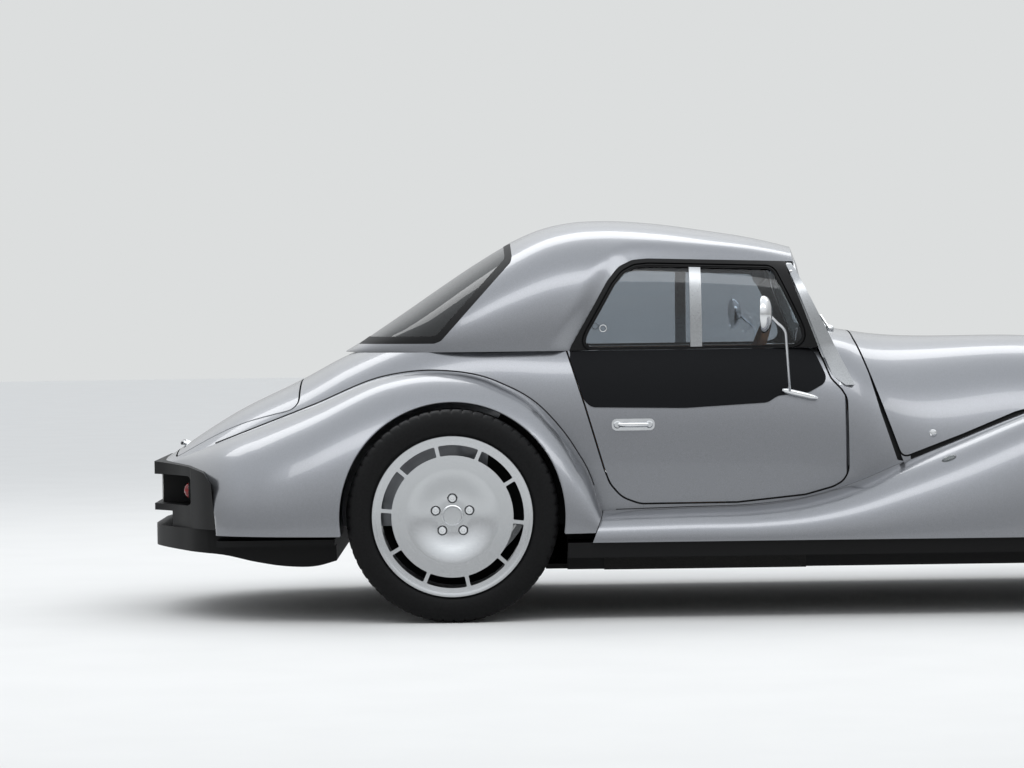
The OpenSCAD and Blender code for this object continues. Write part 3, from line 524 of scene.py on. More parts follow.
# Cast and coated metal: uneven grey with a sandy touch; on the wheels' bolt seats it is painted shade in the
# holes
DARK = material("iron_dark_cast", {"Metallic": 0.6}, grained(3, 0.2, "#2a2b2d", "#3c3d40", (0.45, 0.6)))
# Plated and polished brass: mirror bright
CHROME = material("chrome_plate_polished", {"Metallic": 1.0},
    grained(40, 0, "#d4d6d8", "#e2e3e4", (0.05, 0.09), 0.3))
# Diamond-turned aluminium under lacquer: bright with the soft sheen of marks about 0.8 mm apart
ALLOY = material("aluminium_turned_lacquered", {"Metallic": 1.0, "Coat Weight": 0.3},
    grained(0.8, 0, "#b4b6b8", "#c9cbcd", (0.2, 0.32), 0.3))
# Anodised aluminium section: even satin silver
FRAME = material("aluminium_satin_anodised", {"Metallic": 1.0},
    grained(2, 0.01, "#a4a6a8", "#b4b6b8", (0.24, 0.32)))
CLEAR = {"Transmission Weight": 1.0, "IOR": 1.45, "Roughness": 0.0}
# Float glass with a light grey-green body tint
GLASS = material("glass_clear_float", CLEAR, grained(300, 0, "#d9e0de", "#e0e6e4", edge=0.3))
# Tinted sheet of the side screens: the cabin shows through it greyed
TINTED = material("acrylic_grey_cast", CLEAR, grained(300, 0, "#b0b6bc", "#b6bcc2", edge=0.3))
# Privacy glass: the cabin shows through only faintly
SMOKED = material("glass_smoked_bent", CLEAR, grained(300, 0, "#3c4244", "#434a4c", edge=0.3))
# Moulded acrylic lens: deep red and glossy
RED = material("acrylic_red_moulded", {"Roughness": 0.12, "Transmission Weight": 0.35},
    grained(8, 0, "#7c0c10", "#9c1218", edge=0.3))
# Vegetable-tanned hide, stretched over foam: warm tan with fine creases
LEATHER = material("leather_tan_stretched", {}, leather_grain)
# Cut-pile carpet: dark and fuzzy
CARPET = material("carpet_black_tufted", {}, grained(3, 1.0, "#131312", "#232221", (0.85, 0.95)))
# Silvered float glass: a true mirror
MIRROR = material("glass_silvered", {"Metallic": 1.0},
    grained(60, 0, "#e6e8ea", "#eceef0", (0.01, 0.03), 0.3))
# Blank sheet aluminium, enamelled white
PLATE = material("aluminium_white_enamelled", {}, grained(20, 0.02, "#d8d8d4", "#e2e2de", (0.3, 0.38)))
# Poured and troweled screed, painted: an even pale floor
FLOOR = material("screed_pale_painted", {"Specular IOR Level": 0.1},
    grained(400, 0.02, "#e6e6e5", "#e8e8e7", (0.75, 0.85)))
# Slot of each finish
SLOT_OF = {PAINT: "paint", TRIM: "black_trim", VINYL: "black_trim", RUBBER: "black_trim", TYRE: "tyre",
    CHROME: "chrome", MIRROR: "chrome", ALLOY: "alloy", FRAME: "screen_frame", GLASS: "clear_glass",
    TINTED: "clear_glass", SMOKED: "dark_glass", RED: "red_lens", LEATHER: "tan_leather"}

# Body panels
SKIN_T = 5
BODY_SPLIT = -440
FAR = (-3000, 3000)
HOUSE_Y = REAR_TRACK - REAR_W / 2 - 12
BOOT_ROUND = rounded(BOOT, 34, 10)
DOOR_ROUND = rounded(DOOR, 90)
BONNET_ROUND = rounded(BONNET, 30)
TOP_ROUND = rounded(TOP_OPENING, 60)


def body_shell(x0, x1, rows, d, t, cols=150):
    """Part of the body between two stations, t thick and d below the surface"""
    x, a = grid(np.linspace(x0, x1, rows + 1), round_angles(cols))
    return shell(body_points(x, a, d), body_points(x, a, d + t))


def body_fill(x0, x1, grow):
    """The filled body between two stations"""
    x, a = grid(np.linspace(x0, x1, 30), round_angles(120))
    inner = body_points(x, a, 20)
    inner[..., 2] = BOTTOM - 20
    return shell(body_points(x, a, -grow), inner)


def top_shell(xs, d, t, cols=150, start=0.0, end=1.0, sink=None):
    """Part of the hard top; sink gives how far each outer point is pressed in"""
    x, a = grid(xs, round_angles(cols, start, end))
    outer = top_points(x, a, d)
    if sink is not None:
        outer = top_points(x, a, d + sink(outer))
    return shell(outer, top_points(x, a, d + t))


def cylinder(centre, radius, low, high, axis="y", segments=160):
    """Round bar along an axis through centre"""
    return revolve([(0, low), (radius, low), (radius, high), (0, high)], centre, axis, segments)


def rear_arch(radius, low, high):
    """Round bar on the axis of the rear wheels"""
    return cylinder((REAR_X, 0, REAR_R), radius, low, high)


def heights(low, high):
    """Everything between two heights"""
    return block(FAR, FAR, (low, high))


rear_body = body_shell(BODY[0, 0], BODY_SPLIT, 110, 0, SKIN_T)
cut(rear_body, heights(BELT - SEAT_GAP, 3000), across(grown(DOOR_ROUND, SHUT / 2)), across(TAIL_CUT),
    prism(grown(BOOT_ROUND, SHUT / 2), "xy", 200, 1100), rear_arch(REAR_ARCH, -900, -HOUSE_Y),
    rear_arch(REAR_ARCH, HOUSE_Y, 900))
piece(rear_body, "rear_body_skin", PAINT, "car", "rear_body")

boot_lid = body_shell(-2020, -1550, 60, 0, 6)
keep(boot_lid, prism(grown(BOOT_ROUND, -SHUT / 2), "xy", 200, 1100))
piece(boot_lid, "boot_lid_skin", PAINT, "boot_lid", "boot_lid")

scuttle = body_shell(BODY_SPLIT + SEAT_GAP, 440, 120, 0, SKIN_T)
cut(scuttle, block((-3000, 150), FAR, (BELT - 60, 3000)), across(grown(DOOR_ROUND, SHUT / 2)),
    across(grown(BONNET_ROUND, SHUT / 2)), across(VENT))
piece(scuttle, "scuttle_skin", PAINT, "car", "scuttle")

bonnet = body_shell(240, BONNET_FRONT, 120, 0, SKIN_T)
keep(bonnet, across(grown(BONNET_ROUND, -SHUT / 2)))
piece(bonnet, "bonnet_skin", PAINT, "bonnet", "bonnet")

# Rubber seals behind the gaps round the doors and the bonnet
SEAL_T = 3
door_seal = body_shell(-716, 262, 80, SKIN_T + 0.5, SEAL_T)
keep(door_seal, across(grown(DOOR_ROUND, 16)), heights(0, BELT - 3))
cut(door_seal, across(grown(DOOR_ROUND, -0.5)))
piece(door_seal, "door_seal", RUBBER, "car")
bonnet_seal = body_shell(250, BONNET_FRONT, 80, 11, SEAL_T)
keep(bonnet_seal, across(grown(BONNET_ROUND, 22)))
cut(bonnet_seal, across(grown(BONNET_ROUND, -12)))
piece(bonnet_seal, "bonnet_seal", RUBBER, "car")

# Panel that closes the cabin above the firewall, under the bonnet
PANEL_X, PANEL_LOW, PANEL_D = (317, 321), 780, 16
panel_edge = body_points(PANEL_X[1], round_angles(80), PANEL_D)[:, 1:]
panel = prism([tuple(p) for p in panel_edge], "yz", *PANEL_X)
cut(panel, heights(0, PANEL_LOW))
piece(panel, "firewall_top_panel", TRIM, "car")

# Nose with a rounded lip at its front
COWL_T, LIP_START = 34, NOSE - 87
LIP_R = COWL_T / 2
lip = np.linspace(0, 1, 9)[1:]
cowl_x = np.concatenate([np.linspace(BONNET_FRONT + SHUT / 2, LIP_START, 12), LIP_START + LIP_R * lip])
cowl_d = np.concatenate([np.zeros(12), LIP_R * (1 - np.sqrt(1 - lip ** 2))])
x, a = grid(cowl_x, round_angles(150))
d = np.repeat(cowl_d[:, None], a.shape[1], axis=1)
nose_cowl = shell(body_points(x, a, d), body_points(x, a, COWL_T - d))
piece(nose_cowl, "nose_cowl_skin", PAINT, "car", "nose_cowl")

# Hard top, pressed in towards the side windows
SCOOP_W, SCOOP_D = 62, 15
# The hollow starts this far from the centre line and is full this much further out
SCOOP_FROM, SCOOP_EASE = 400, 80


def near_window(points):
    """Depth of the hollow round the window opening, from the distance to its edge"""
    edge = np.array(TOP_OPENING[1:8], float)
    p = points[..., [0, 2]]
    best = np.full(p.shape[:2], 1e9)
    for a, b in zip(edge[:-1], edge[1:]):
        t = np.clip(((p - a) @ (b - a)) / ((b - a) @ (b - a)), 0, 1)
        best = np.minimum(best, np.linalg.norm(p - (a + t[..., None] * (b - a)), axis=-1))
    s = np.clip(1 - best / SCOOP_W, 0, 1)
    side = np.clip((np.abs(points[..., 1]) - SCOOP_FROM) / SCOOP_EASE, 0, 1)
    return SCOOP_D * s * s * (3 - 2 * s) * side


# The windscreen's place at the centre line, its rake, and its bow across the car
SCREEN_X, SCREEN_Z, SCREEN_RAKE = 46, 1147, math.tan(math.radians(20.6))
SCREEN_BOW, SCREEN_HALF = 43, 520
# Station whose section of the hard top the screen's outline follows, and the foot of that outline
SCREEN_STATION, SCREEN_FOOT = 92.0, (615, 742)


def screen_x(y, z):
    """Station of the raked and bowed windscreen"""
    return SCREEN_X + (SCREEN_Z - z) * SCREEN_RAKE + SCREEN_BOW * np.maximum(0, 1 - (y / SCREEN_HALF) ** 2)


def screen_shell(d0, d1):
    """Slab of the windscreen between two depths"""
    y, z = np.meshgrid(np.linspace(-640, 640, 81), np.linspace(690, 1320, 41), indexing="ij")
    return shell(*[np.stack([screen_x(y, z) + d, y, z], axis=-1) for d in (d1, d0)])


top_x = np.concatenate([[-1428, -1424, -1417], np.linspace(-1408, 190, 140)])
hardtop = top_shell(top_x, 0, 20, cols=170, sink=near_window)
cut(hardtop, across(TOP_ROUND), across(rounded(REAR_GLASS, 26)), screen_shell(18, 900))
piece(hardtop, "hardtop_skin", PAINT, "car", "hardtop")

# Wrap-round rear window with its printed border
BORDER_W = 24
glass_x = top_x[top_x < -780]
glass_edge = grown(rounded(REAR_GLASS, 26), -0.4)
rear_glass = top_shell(glass_x, 3, 5, cols=160)
keep(rear_glass, across(glass_edge))
piece(rear_glass, "rear_window_glass", SMOKED, "car", "rear_window")
border = top_shell(glass_x, 1.5, 1.2, cols=160)
keep(border, across(glass_edge))
cut(border, across(rounded(grown(REAR_GLASS, -BORDER_W), 26)))
piece(border, "rear_window_border", RUBBER, "car")


# Windscreen, its frame under the roof and the pillars with their wide feet
def screen_outline(d):
    """Outline of the screen from ahead, d below the hard top"""
    arch = top_points(SCREEN_STATION, round_angles(48), d)[:, 1:]
    return [SCREEN_FOOT] + [tuple(p) for p in arch] + [(-SCREEN_FOOT[0], SCREEN_FOOT[1])]


SCREEN = screen_outline(23)
PILLAR_EDGE = screen_outline(1)
FRAME_W = 32
screen_frame = screen_shell(-6, 18)
keep(screen_frame, prism(SCREEN, "yz", -200, 500))
cut(screen_frame, prism(rounded(grown(SCREEN, -FRAME_W), 30), "yz", -300, 600), body_fill(60, 420, SEAT_GAP))
piece(screen_frame, "windscreen_frame_fine", FRAME, "car", "windscreen_frame")
pillars = across(rounded(PILLAR, 9))
keep(pillars, prism(PILLAR_EDGE, "yz", -300, 600))
cut(pillars, prism(grown(PILLAR_EDGE, -30), "yz", -400, 700), body_fill(30, 420, SEAT_GAP))
piece(pillars, "windscreen_pillars", FRAME, "car")
screen = screen_shell(-5, 0)
keep(screen, prism(grown(SCREEN, -FRAME_W - SEAT_GAP), "yz", -200, 500))
cut(screen, body_fill(60, 420, SEAT_GAP))
piece(screen, "windscreen_glass", GLASS, "car", "windscreen")


# Wings
def rear_wing_points(x, a):
    """Outer face of the right rear wing"""
    crease, n = along(REAR_WING, 1, x), along(REAR_WING, 3, x)
    inner = body_y(x, crease) + WING_GAP
    return np.stack([x, -inner - (along(REAR_WING, 2, x) - inner) * np.abs(np.sin(a)) ** (2 / n),
        WING_BOTTOM + (crease - WING_BOTTOM) * np.abs(np.cos(a)) ** (2 / n)], axis=-1)


def rear_wing_back(x, k):
    """Face of the rear wing towards the body"""
    z = WING_BOTTOM + (along(REAR_WING, 1, x) - WING_EDGE - WING_BOTTOM) * (1 - k)
    return np.stack([x, -body_y(x, z) - WING_GAP, z], axis=-1)


def front_wing_points(x, k):
    """Outer face of the right front wing: k runs to 1 at the crest and to 2 at the lower edge"""
    joint, crest = along(FRONT_WING, 1, x), along(FRONT_WING, 2, x)
    crest_y, outer_y, low = along(FRONT_WING, 3, x), along(FRONT_WING, 4, x), along(FRONT_WING, 5, x)
    inner = body_y(x, joint) + WING_GAP
    b = np.where(k < 1, k, k - 1) * math.pi / 2
    y = np.where(k < 1, -crest_y + (crest_y - inner) * np.cos(b),
        -crest_y - (outer_y - crest_y) * np.abs(np.sin(b)) ** 0.87)
    z = np.where(k < 1, joint + (crest - joint) * np.sin(b), low + (crest - low) * np.abs(np.cos(b)) ** 0.87)
    return np.stack([x, y, z], axis=-1)


def front_wing_back(x, k):
    """Face of the front wing towards the body"""
    z = along(FRONT_WING, 1, x) - WING_EDGE
    z = z + (along(FRONT_WING, 5, x) - z) * k / 2
    return np.stack([x, -body_y(x, z) - WING_GAP, z], axis=-1)


ARCH_EDGE_R, ARCH_EDGE_IN = 3.5, 2.5


def arch_lip(points, centre_x, centre_z, radius, low):
    """Rolled edge that follows a wing's outer face round its wheel arch"""
    path = []
    for t in np.linspace(-0.35, math.pi + 0.35, 120):
        x, z = centre_x + radius * math.cos(t), centre_z + radius * math.sin(t)
        if z > low and points[0, 0, 0] < x < points[-1, 0, 0]:
            row = points[int(np.argmin(np.abs(points[:, 0, 0] - x)))]
            row = row[int(np.argmax(row[:, 2])):]
            path.append((x, np.interp(-z, -row[:, 2], row[:, 1]) + ARCH_EDGE_IN, z))
    return tube(path, ARCH_EDGE_R, 10)


def in_arch(p, x, z, radius):
    """Whether a point lies on the wall of a wheel arch"""
    return math.hypot(p[0] - x, p[2] - z) < radius + 0.5


x, a = grid(np.concatenate([np.linspace(-2010, -1500, 60), np.linspace(-1490, -740, 70),
    np.linspace(-735, -562, 50)]), np.linspace(0, math.pi / 2, 61))
rear_outer = rear_wing_points(x, a)
rear_wing = shell(rear_outer, rear_wing_back(x, a / (math.pi / 2)))
cut(rear_wing, rear_arch(REAR_ARCH, -1200, -400), across(TAIL_CUT),
    across(grown(WING_JOINT + [(-400, 420), (-400, 240)], 2)))
pair(rear_wing, "rear_wing_skin", [PAINT, TRIM], "car", "rear_wing", sharp=55,
    second=lambda p, n: in_arch(p, REAR_X, REAR_R, REAR_ARCH) or n[1] > 0.5 or n[2] < -0.9)
rear_lip = arch_lip(rear_outer, REAR_X, REAR_R, REAR_ARCH, WING_BOTTOM)
pair(rear_lip, "rear_arch_lip", PAINT, "car")

# Front wing with a rounded nose, room for the wheel and a pocket behind the headlamp
WING_NOSE, NOSE_ROUND, NOSE_IN = 1940, 60, 0.16
# Inner sides of the room for the steered wheel and for its hub, and the radius of the hub's room
WHEEL_ROOM_Y, HUB_ROOM_Y, HUB_ROOM_R = -482, -300, 240
POCKET = [(0, -151), (48.6, -120.4), (80.6, -70), (95.6, -20), (95.6, 200), (0, 200)]
x, k = grid(np.concatenate([np.linspace(-640, 1000, 90), np.linspace(1012, WING_NOSE, 84),
    WING_NOSE + NOSE_ROUND * np.sin(np.linspace(0, math.pi / 2, 13)[1:])]),
    np.concatenate([np.linspace(0, 1, 21), np.linspace(1, 2, 51)[1:]]))
front_outer = front_wing_points(x, k)
middle = front_outer.mean(axis=1, keepdims=True)
turn_in = 1 - np.sqrt(1 - np.clip((x - WING_NOSE) / NOSE_ROUND, 0, 1) ** 2)
front_outer = middle + (front_outer - middle) * (1 - NOSE_IN * turn_in[..., None])
front_wing = shell(front_outer, front_wing_back(x, k))
cut(front_wing, cylinder((FRONT_X, 0, FRONT_R), FRONT_ARCH, -1200, WHEEL_ROOM_Y),
    cylinder((FRONT_X, 0, FRONT_R), HUB_ROOM_R, -1200, HUB_ROOM_Y),
    across(grown(WING_JOINT + [(-900, 420), (-900, 240)], 1)), revolve(POCKET, HEADLAMP, "x", 96))
pair(front_wing, "front_wing_skin", [PAINT, TRIM], "car", "front_wing", sharp=55,
    second=lambda p, n: in_arch(p, FRONT_X, FRONT_R, FRONT_ARCH)
    or n[1] > 0.5 and p[1] > -480 and p[0] < 1600 or n[2] < -0.9)
front_lip = arch_lip(front_outer, FRONT_X, FRONT_R, FRONT_ARCH, 260)
pair(front_lip, "front_arch_lip", PAINT, "car")

# Rubber piping between the wings and the body
PIPING_R = 2.6
for end, outer, low, high in (("front", front_outer, -540, 1870), ("rear", rear_outer, -1860, -600)):
    path = np.array([p for p in outer[:, 0] if low < p[0] < high]) + (0, 1, 1)
    pair(tube(path, PIPING_R, 8), end + "_wing_piping", RUBBER, "car")

# Black inner wall of each rear wheel arch, with a hole for the axle
wall = rear_arch(REAR_ARCH + 6, -HOUSE_Y + 1, -HOUSE_Y + 9)
cut(wall, rear_arch(75, -1200, 0), heights(0, BOTTOM))
keep(wall, body_fill(-1480, -600, -6))
pair(wall, "wheel_house", TRIM, "car")


# Doors and what they carry
DOOR_T = 58


def side_shell(out, t):
    """Part of the right-hand body side, from out mm outside the body to t further in"""
    x, a = grid(np.linspace(-700, 245, 91), round_angles(90, 0.6, 1.0))
    outer, inner = body_points(x, a), body_points(x, a)
    outer[..., 1] -= out
    inner[..., 1] -= out - t
    return shell(outer, inner)


def bevel_face(depths):
    """Face of the cutter along the door's front edge, at two stations and their depths in the body side"""
    z = np.linspace(440, 740, 31)
    side = -body_y(DOOR_FRONT + 0 * z, z)
    return np.stack([np.stack([x + 0 * z, side + d, z], axis=-1)
        for x, d in zip((DOOR_FRONT - 8, DOOR_FRONT + 10), depths)], axis=1)


door = side_shell(0, DOOR_T)
keep(door, across(grown(DOOR_ROUND, -SHUT / 2)), block((-1000, 1000), (-1000, 0), (0, BELT - SEAT_GAP)))
# The front edge is bevelled, so that it turns past the scuttle
cut(door, shell(bevel_face((-30, -30)), bevel_face((0, 18))))
pair(door, "door_skin", [PAINT, LEATHER], "door", "door", second=lambda p, n: n[1] > 0.6)

BAR_X, BAR_W, RUBBER_W, WINDOW_W = -276, 38, 4, 9
window = rounded(WINDOW, 60)
window_inner = grown(window, -RUBBER_W)
pane = grown(window, -WINDOW_W)


def window_shell(d, t, rows=70):
    """Part of the right-hand side of the hard top's form, where the window is"""
    return top_shell(np.linspace(-700, 160, rows), d, t, cols=90, start=0.5, end=1.0)


rubber = window_shell(1, 13)
keep(rubber, across(window))
cut(rubber, across(window_inner))
pair(rubber, "side_screen_rubber", RUBBER, "door")
window_frame = window_shell(3, 11)
keep(window_frame, across(window_inner))
cut(window_frame, across(pane))
pair(window_frame, "side_screen_frame", TRIM, "door", "side_screen")
bar = window_shell(2, 9)
keep(bar, across(grown(pane, 1)), block((BAR_X, BAR_X + BAR_W), (-1000, 0), (0, 2000)))
pair(bar, "side_screen_bar", FRAME, "door")
side_glass = window_shell(6, 5)
keep(side_glass, across(grown(pane, -SEAT_GAP)))
cut(side_glass, block((BAR_X - SEAT_GAP, BAR_X + BAR_W + SEAT_GAP), (-1000, 0), (0, 2000)))
pair(side_glass, "side_window", TINTED, "door", "side_glass")
# Rubber seal of the hard top round the window, and its lip inside
seal = window_shell(5, 13, 80)
keep(seal, across(TOP_ROUND))
cut(seal, across(grown(window, 5)), screen_shell(-6.3, 900))
pair(seal, "window_seal", RUBBER, "car")
seal_lip = window_shell(19.5, 5, 80)
keep(seal_lip, across(grown(TOP_ROUND, 4)), block((-1000, 1000), (-1000, 0), (BELT + 1, 2000)))
cut(seal_lip, across(grown(window, -6)), screen_shell(-6.3, 900))
pair(seal_lip, "window_seal_lip", RUBBER, "car")
flap = side_shell(4.3, 4)
keep(flap, across(rounded(FLAP, 46)))
pair(flap, "side_screen_flap", VINYL, "door")


# Wheels, drawn at the right rear and front and mirrored to the left
RIM_R, DISC_R, WINDOW_R, SPOKE_W, FACE_DEPTH = 248, 195, 230, 12, 16
SPOKES, FIRST_SPOKE, BOLTS, BOLT_CIRCLE, BOLT_SEAT_R = 10, -5.5, 5, 57, 16
# Dish of the wheel disc: where it starts and ends, and its depth
DISH_R, DISH_D = (50, 158), 33
# Bolt and cap: radius and height over the wheel's face
BOLT = [(0, -22), (5, -22), (6, -17), (10.5, -17), (12.5, -19), (12.5, -43), (0, -43)]
CAP = [(0, -19), (28, -19.5), (30, -17), (33, -17), (36, -19), (36, -32), (0, -32)]


def smooth(points, steps=5):
    """Profile with a smooth curve through its points"""
    p = np.asarray(points, float)
    t = np.concatenate([[0], np.cumsum(np.linalg.norm(np.diff(p, axis=0), axis=1))])
    table = np.column_stack([t, p])
    s = np.concatenate([np.linspace(a, b, steps, endpoint=False) for a, b in zip(t, t[1:])] + [[t[-1]]])
    return np.column_stack([along(table, 1, s), along(table, 2, s)])


def out(profile, lift=0):
    """Profile drawn with its outer side up, lifted and turned to the right-hand side of the car"""
    return [(r, -h - lift) for r, h in profile]


def barrel_profile(h):
    """Rim between its two flanges, h from the middle"""
    return [(RIM_R - 12, -h), (RIM_R + 10, -h), (RIM_R + 12, -h + 2), (RIM_R + 12, -h + 8), (RIM_R, -h + 14),
        (RIM_R - 4, 0), (RIM_R, h - 14), (RIM_R + 12, h - 8), (RIM_R + 12, h - 3), (RIM_R + 10, h),
        (RIM_R + 5, h), (RIM_R - 4, h - 4), (RIM_R - 9, h - 6), (RIM_R - 11, h - 16), (RIM_R - 13, h - 24)]


def disc_profile(face):
    """Dished disc, as thick as it is at its spokes"""
    dish = [(DISH_R[0] + (DISH_R[1] - DISH_R[0]) * t, face + 4 - DISH_D * (1 + math.cos(math.pi * t)) / 2)
        for t in np.linspace(0, 1, 25)]
    return [(0, face + 4 - DISH_D)] + dish + [(DISC_R, face + 7), (WINDOW_R, face + 10),
        (RIM_R - 2, face + 13), (RIM_R - 2, face - 16), (DISC_R, face - 16), (100, face - 34),
        (70, face - 44), (0, face - 44)]


def wheel(end, x, track, radius, width):
    """Rim, bolts, cap and tyre of the right-hand wheel at one end of the car"""
    name = f"wheel_{end}_right"

    def round_at(r, t):
        return x + r * math.cos(t), radius + r * math.sin(t)
    centre = (x, -track, radius)
    flange = width / 2 - 4
    face = flange - FACE_DEPTH
    rim = revolve(out(disc_profile(face)), centre, "y", 180)
    inner = DISC_R + 1
    for i in range(SPOKES):
        t0, t1 = [math.radians(FIRST_SPOKE + 360 / SPOKES * (i + e)) for e in (0, 1)]
        g0, g1 = SPOKE_W / 2 / inner, SPOKE_W / 2 / WINDOW_R
        hole = [round_at(inner, t) for t in np.linspace(t0 + g0, t1 - g0, 14)]
        hole += [round_at(WINDOW_R, t) for t in np.linspace(t1 - g1, t0 + g1, 14)]
        cut(rim, prism(rounded(hole, 7, 4), "xz", -track - 200, -track + 100))
    seats = [round_at(BOLT_CIRCLE, math.radians(90 + 360 / BOLTS * i)) for i in range(BOLTS)]
    for number, (u, w) in enumerate(seats, 1):
        cut(rim, cylinder((u, -track, w), BOLT_SEAT_R, -face - 20, -face + 42, segments=32))
        bolt = revolve(out(BOLT, face), (u, -track, w), "y", 24)
        piece(bolt, f"{name}_bolt_{number}", CHROME, name)
    boolean(rim, "UNION", revolve(out(barrel_profile(flange)), centre, "y", 180))
    # The rim's second finish, the dark iron, goes on the walls of the bolt seats: painted shade in the holes
    # round the bolts
    piece(rim, name + "_rim", [ALLOY, DARK], name, f"rim_{end}_right")
    tint(rim, lambda p, n: any(math.hypot(p[0] - u, p[2] - w) < BOLT_SEAT_R + 0.2 for u, w in seats))
    piece(revolve(out(CAP, face), centre, "y", 64), name + "_cap", ALLOY, name)
    piece(tyre_mesh(centre, radius, width), name + "_tyre", TYRE, name, f"tyre_{end}_right", sharp=40)


# Tread: four grooves round the tyre and slots across its shoulders, each slot one of six steps wide
GROOVE_W, GROOVE_D, GROOVES = 9, 6, (0.75, 0.25, -0.25, -0.75)
SLOTS, SLOT_STEPS, SLOT_D = 60, 6, 4.5
RIB_STEPS, RIB_D, TREAD_EDGE = 3, 0.6, 50


def tyre_mesh(centre, radius, width):
    """Tyre with its tread cut and fine ribs on its side walls"""
    half = width / 2
    bead = RIM_R + 14
    side = smooth([(RIM_R + 1, half - 19), (RIM_R + 12.5, half - 12.5), (bead + 2, half - 9),
        (bead + 8, half - 5), (bead + 22, half - 1), (bead + 34, half), (radius - 30, half - 3),
        (radius - 14, half - 10), (radius - 5, half - 20), (radius - 1.5, half - 32),
        (radius, half - TREAD_EDGE)], 2)
    flat = half - TREAD_EDGE
    tread = []
    for g in GROOVES:
        for r, h in ((0, 0.5), (GROOVE_D, -1)):
            tread.append((radius - r, g * flat + GROOVE_W / 2 + h))
        for r, h in ((GROOVE_D, 1), (0, -0.5)):
            tread.append((radius - r, g * flat - GROOVE_W / 2 + h))
    profile = np.array(side.tolist() + tread + side[::-1].tolist())
    profile[len(side) + len(tread):, 1] *= -1
    segments = SLOTS * SLOT_STEPS
    step = np.arange(segments)[:, None]
    t = step * 2 * math.pi / segments
    r, h = [np.repeat(profile[None, :, i], segments, axis=0) for i in (0, 1)]
    shoulder = (np.abs(h) > 0.78 * flat) & (np.abs(h) < half - 12) & (r > radius - 16)
    r = np.where(shoulder & (step % SLOT_STEPS == 0), r - SLOT_D, r)
    ribs = (r < radius - 28) & (r > radius - 40) & (np.abs(h) > half - 6)
    h = np.where(ribs & (step % RIB_STEPS == 0), h - np.sign(h) * RIB_D, h)
    points = np.stack([r * np.cos(t), -h, r * np.sin(t)], axis=-1) + np.asarray(centre, float)
    return solid(points.reshape(-1, 3), wrapped(segments, len(profile), segments))


for end, x, track, radius, width in (("front", FRONT_X, FRONT_TRACK, FRONT_R, FRONT_W),
        ("rear", REAR_X, REAR_TRACK, REAR_R, REAR_W)):
    before = set(bpy.data.objects)
    wheel(end, x, track, radius, width)
    for obj in [o for o in bpy.data.objects if o not in before]:
        nodes = [f"{kind}_{end}_left" for kind in ("rim", "tyre") if obj.name.endswith(kind)]
        left_of(obj, obj.name.replace("right", "left"), f"wheel_{end}_left", *nodes)


# Tail: black fascia with a bay for the plate and the lamps
def both_sides(points):
    """Plan outline of the right-hand half made whole"""
    return points + [(x, -y) for x, y in reversed(points)]


FASCIA = [(-1835, 708), (-1880, 646), (-1932, 548), (-1980, 450), (-2020, 385), (-2064, 330)]
BAY = (372, 470)
LAMP_WALL, PLATE_WALL, PLATE_Y = -1925, -2040, 275
FOOT_X, FOOT_Z = -1998, 350
TAIL_LAMP = (0, -500, 421)
TAIL_LAMP_R, LENS_R, LAMP_BACK = 30, 25, LAMP_WALL + 9.7
fascia = prism(both_sides(smooth(FASCIA, 10).tolist()), "xy", BOTTOM, 1000)
keep(fascia, across(rounded(grown(TAIL_CUT, -SEAT_GAP), 24)))
bay = rounded([(-2300, BAY[0]), (LAMP_WALL, BAY[0]), (LAMP_WALL, BAY[1]), (-2300, BAY[1])], 16)
cut(fascia, prism(bay, "xz", -900, -PLATE_Y), prism(bay, "xz", PLATE_Y, 900),
    block((-2300, PLATE_WALL), (-PLATE_Y - 1, PLATE_Y + 1), BAY),
    block((-2300, FOOT_X), (-900, 900), (0, FOOT_Z)))
for side in (-1, 1):
    socket = (0, side * TAIL_LAMP[1], TAIL_LAMP[2])
    cut(fascia, cylinder(socket, TAIL_LAMP_R + SEAT_GAP, -2200, LAMP_WALL + 10, "x", 48))
piece(fascia, "rear_fascia_moulding", TRIM, "car", "rear_fascia")
# Tray under the tail, rounded in plan and swept up to the rear
TRAY = [(-1445, 640), (-1830, 638), (-1895, 600), (-1960, 510), (-2020, 400), (-2056, 310), (-2070, 200)]
TRAY_LOW = [(-1445, 190), (-1505, 174), (-1613, 174), (-1708, 189), (-1816, 214), (-1960, 226), (-2070, 232)]
TRAY_TOP = [(-2070, BOTTOM - SEAT_GAP), (-1837, BOTTOM - SEAT_GAP), (-1836, WING_BOTTOM - SEAT_GAP),
    (-1445, WING_BOTTOM - SEAT_GAP)]
tray = prism(both_sides([TRAY[0]] + smooth(TRAY[1:], 8).tolist()), "xy", 100, 400)
keep(tray, prism(smooth(TRAY_LOW, 6).tolist() + TRAY_TOP, "xz", -620, 620))
piece(tray, "undertray_moulding", TRIM, "car", "undertray")
plate_edge = rounded([(-260, 376), (260, 376), (260, 467), (-260, 467)], 8)
plate = prism(plate_edge, "yz", PLATE_WALL - 5, PLATE_WALL - 1)
piece(plate, "number_plate_blank", PLATE, "car")
lens = [(LENS_R * math.sin(t), LAMP_WALL - 8 - 18 * math.cos(t)) for t in np.linspace(0, math.pi / 2, 10)]
lamp = revolve(lens + [(LENS_R, LAMP_BACK), (0, LAMP_BACK)], TAIL_LAMP, "x", 64)
piece(lamp, "tail_lamp_lens_right", RED, "car", "tail_lamps")
left_of(lamp, "tail_lamp_lens_left", "car")
LAMP_RING = [(25.5, LAMP_BACK), (29.8, LAMP_BACK), (29.8, LAMP_WALL - 8), (28, LAMP_WALL - 10),
    (25.5, LAMP_WALL - 8)]
pair(revolve(LAMP_RING, TAIL_LAMP, "x", 64), "tail_lamp_ring", TRIM, "car")


# Handle, mirror and small fittings, drawn on the right
def on_side(x, z, out):
    """Point out mm outside the body"""
    return np.array([x, -float(body_y(x, z)) - out, z])


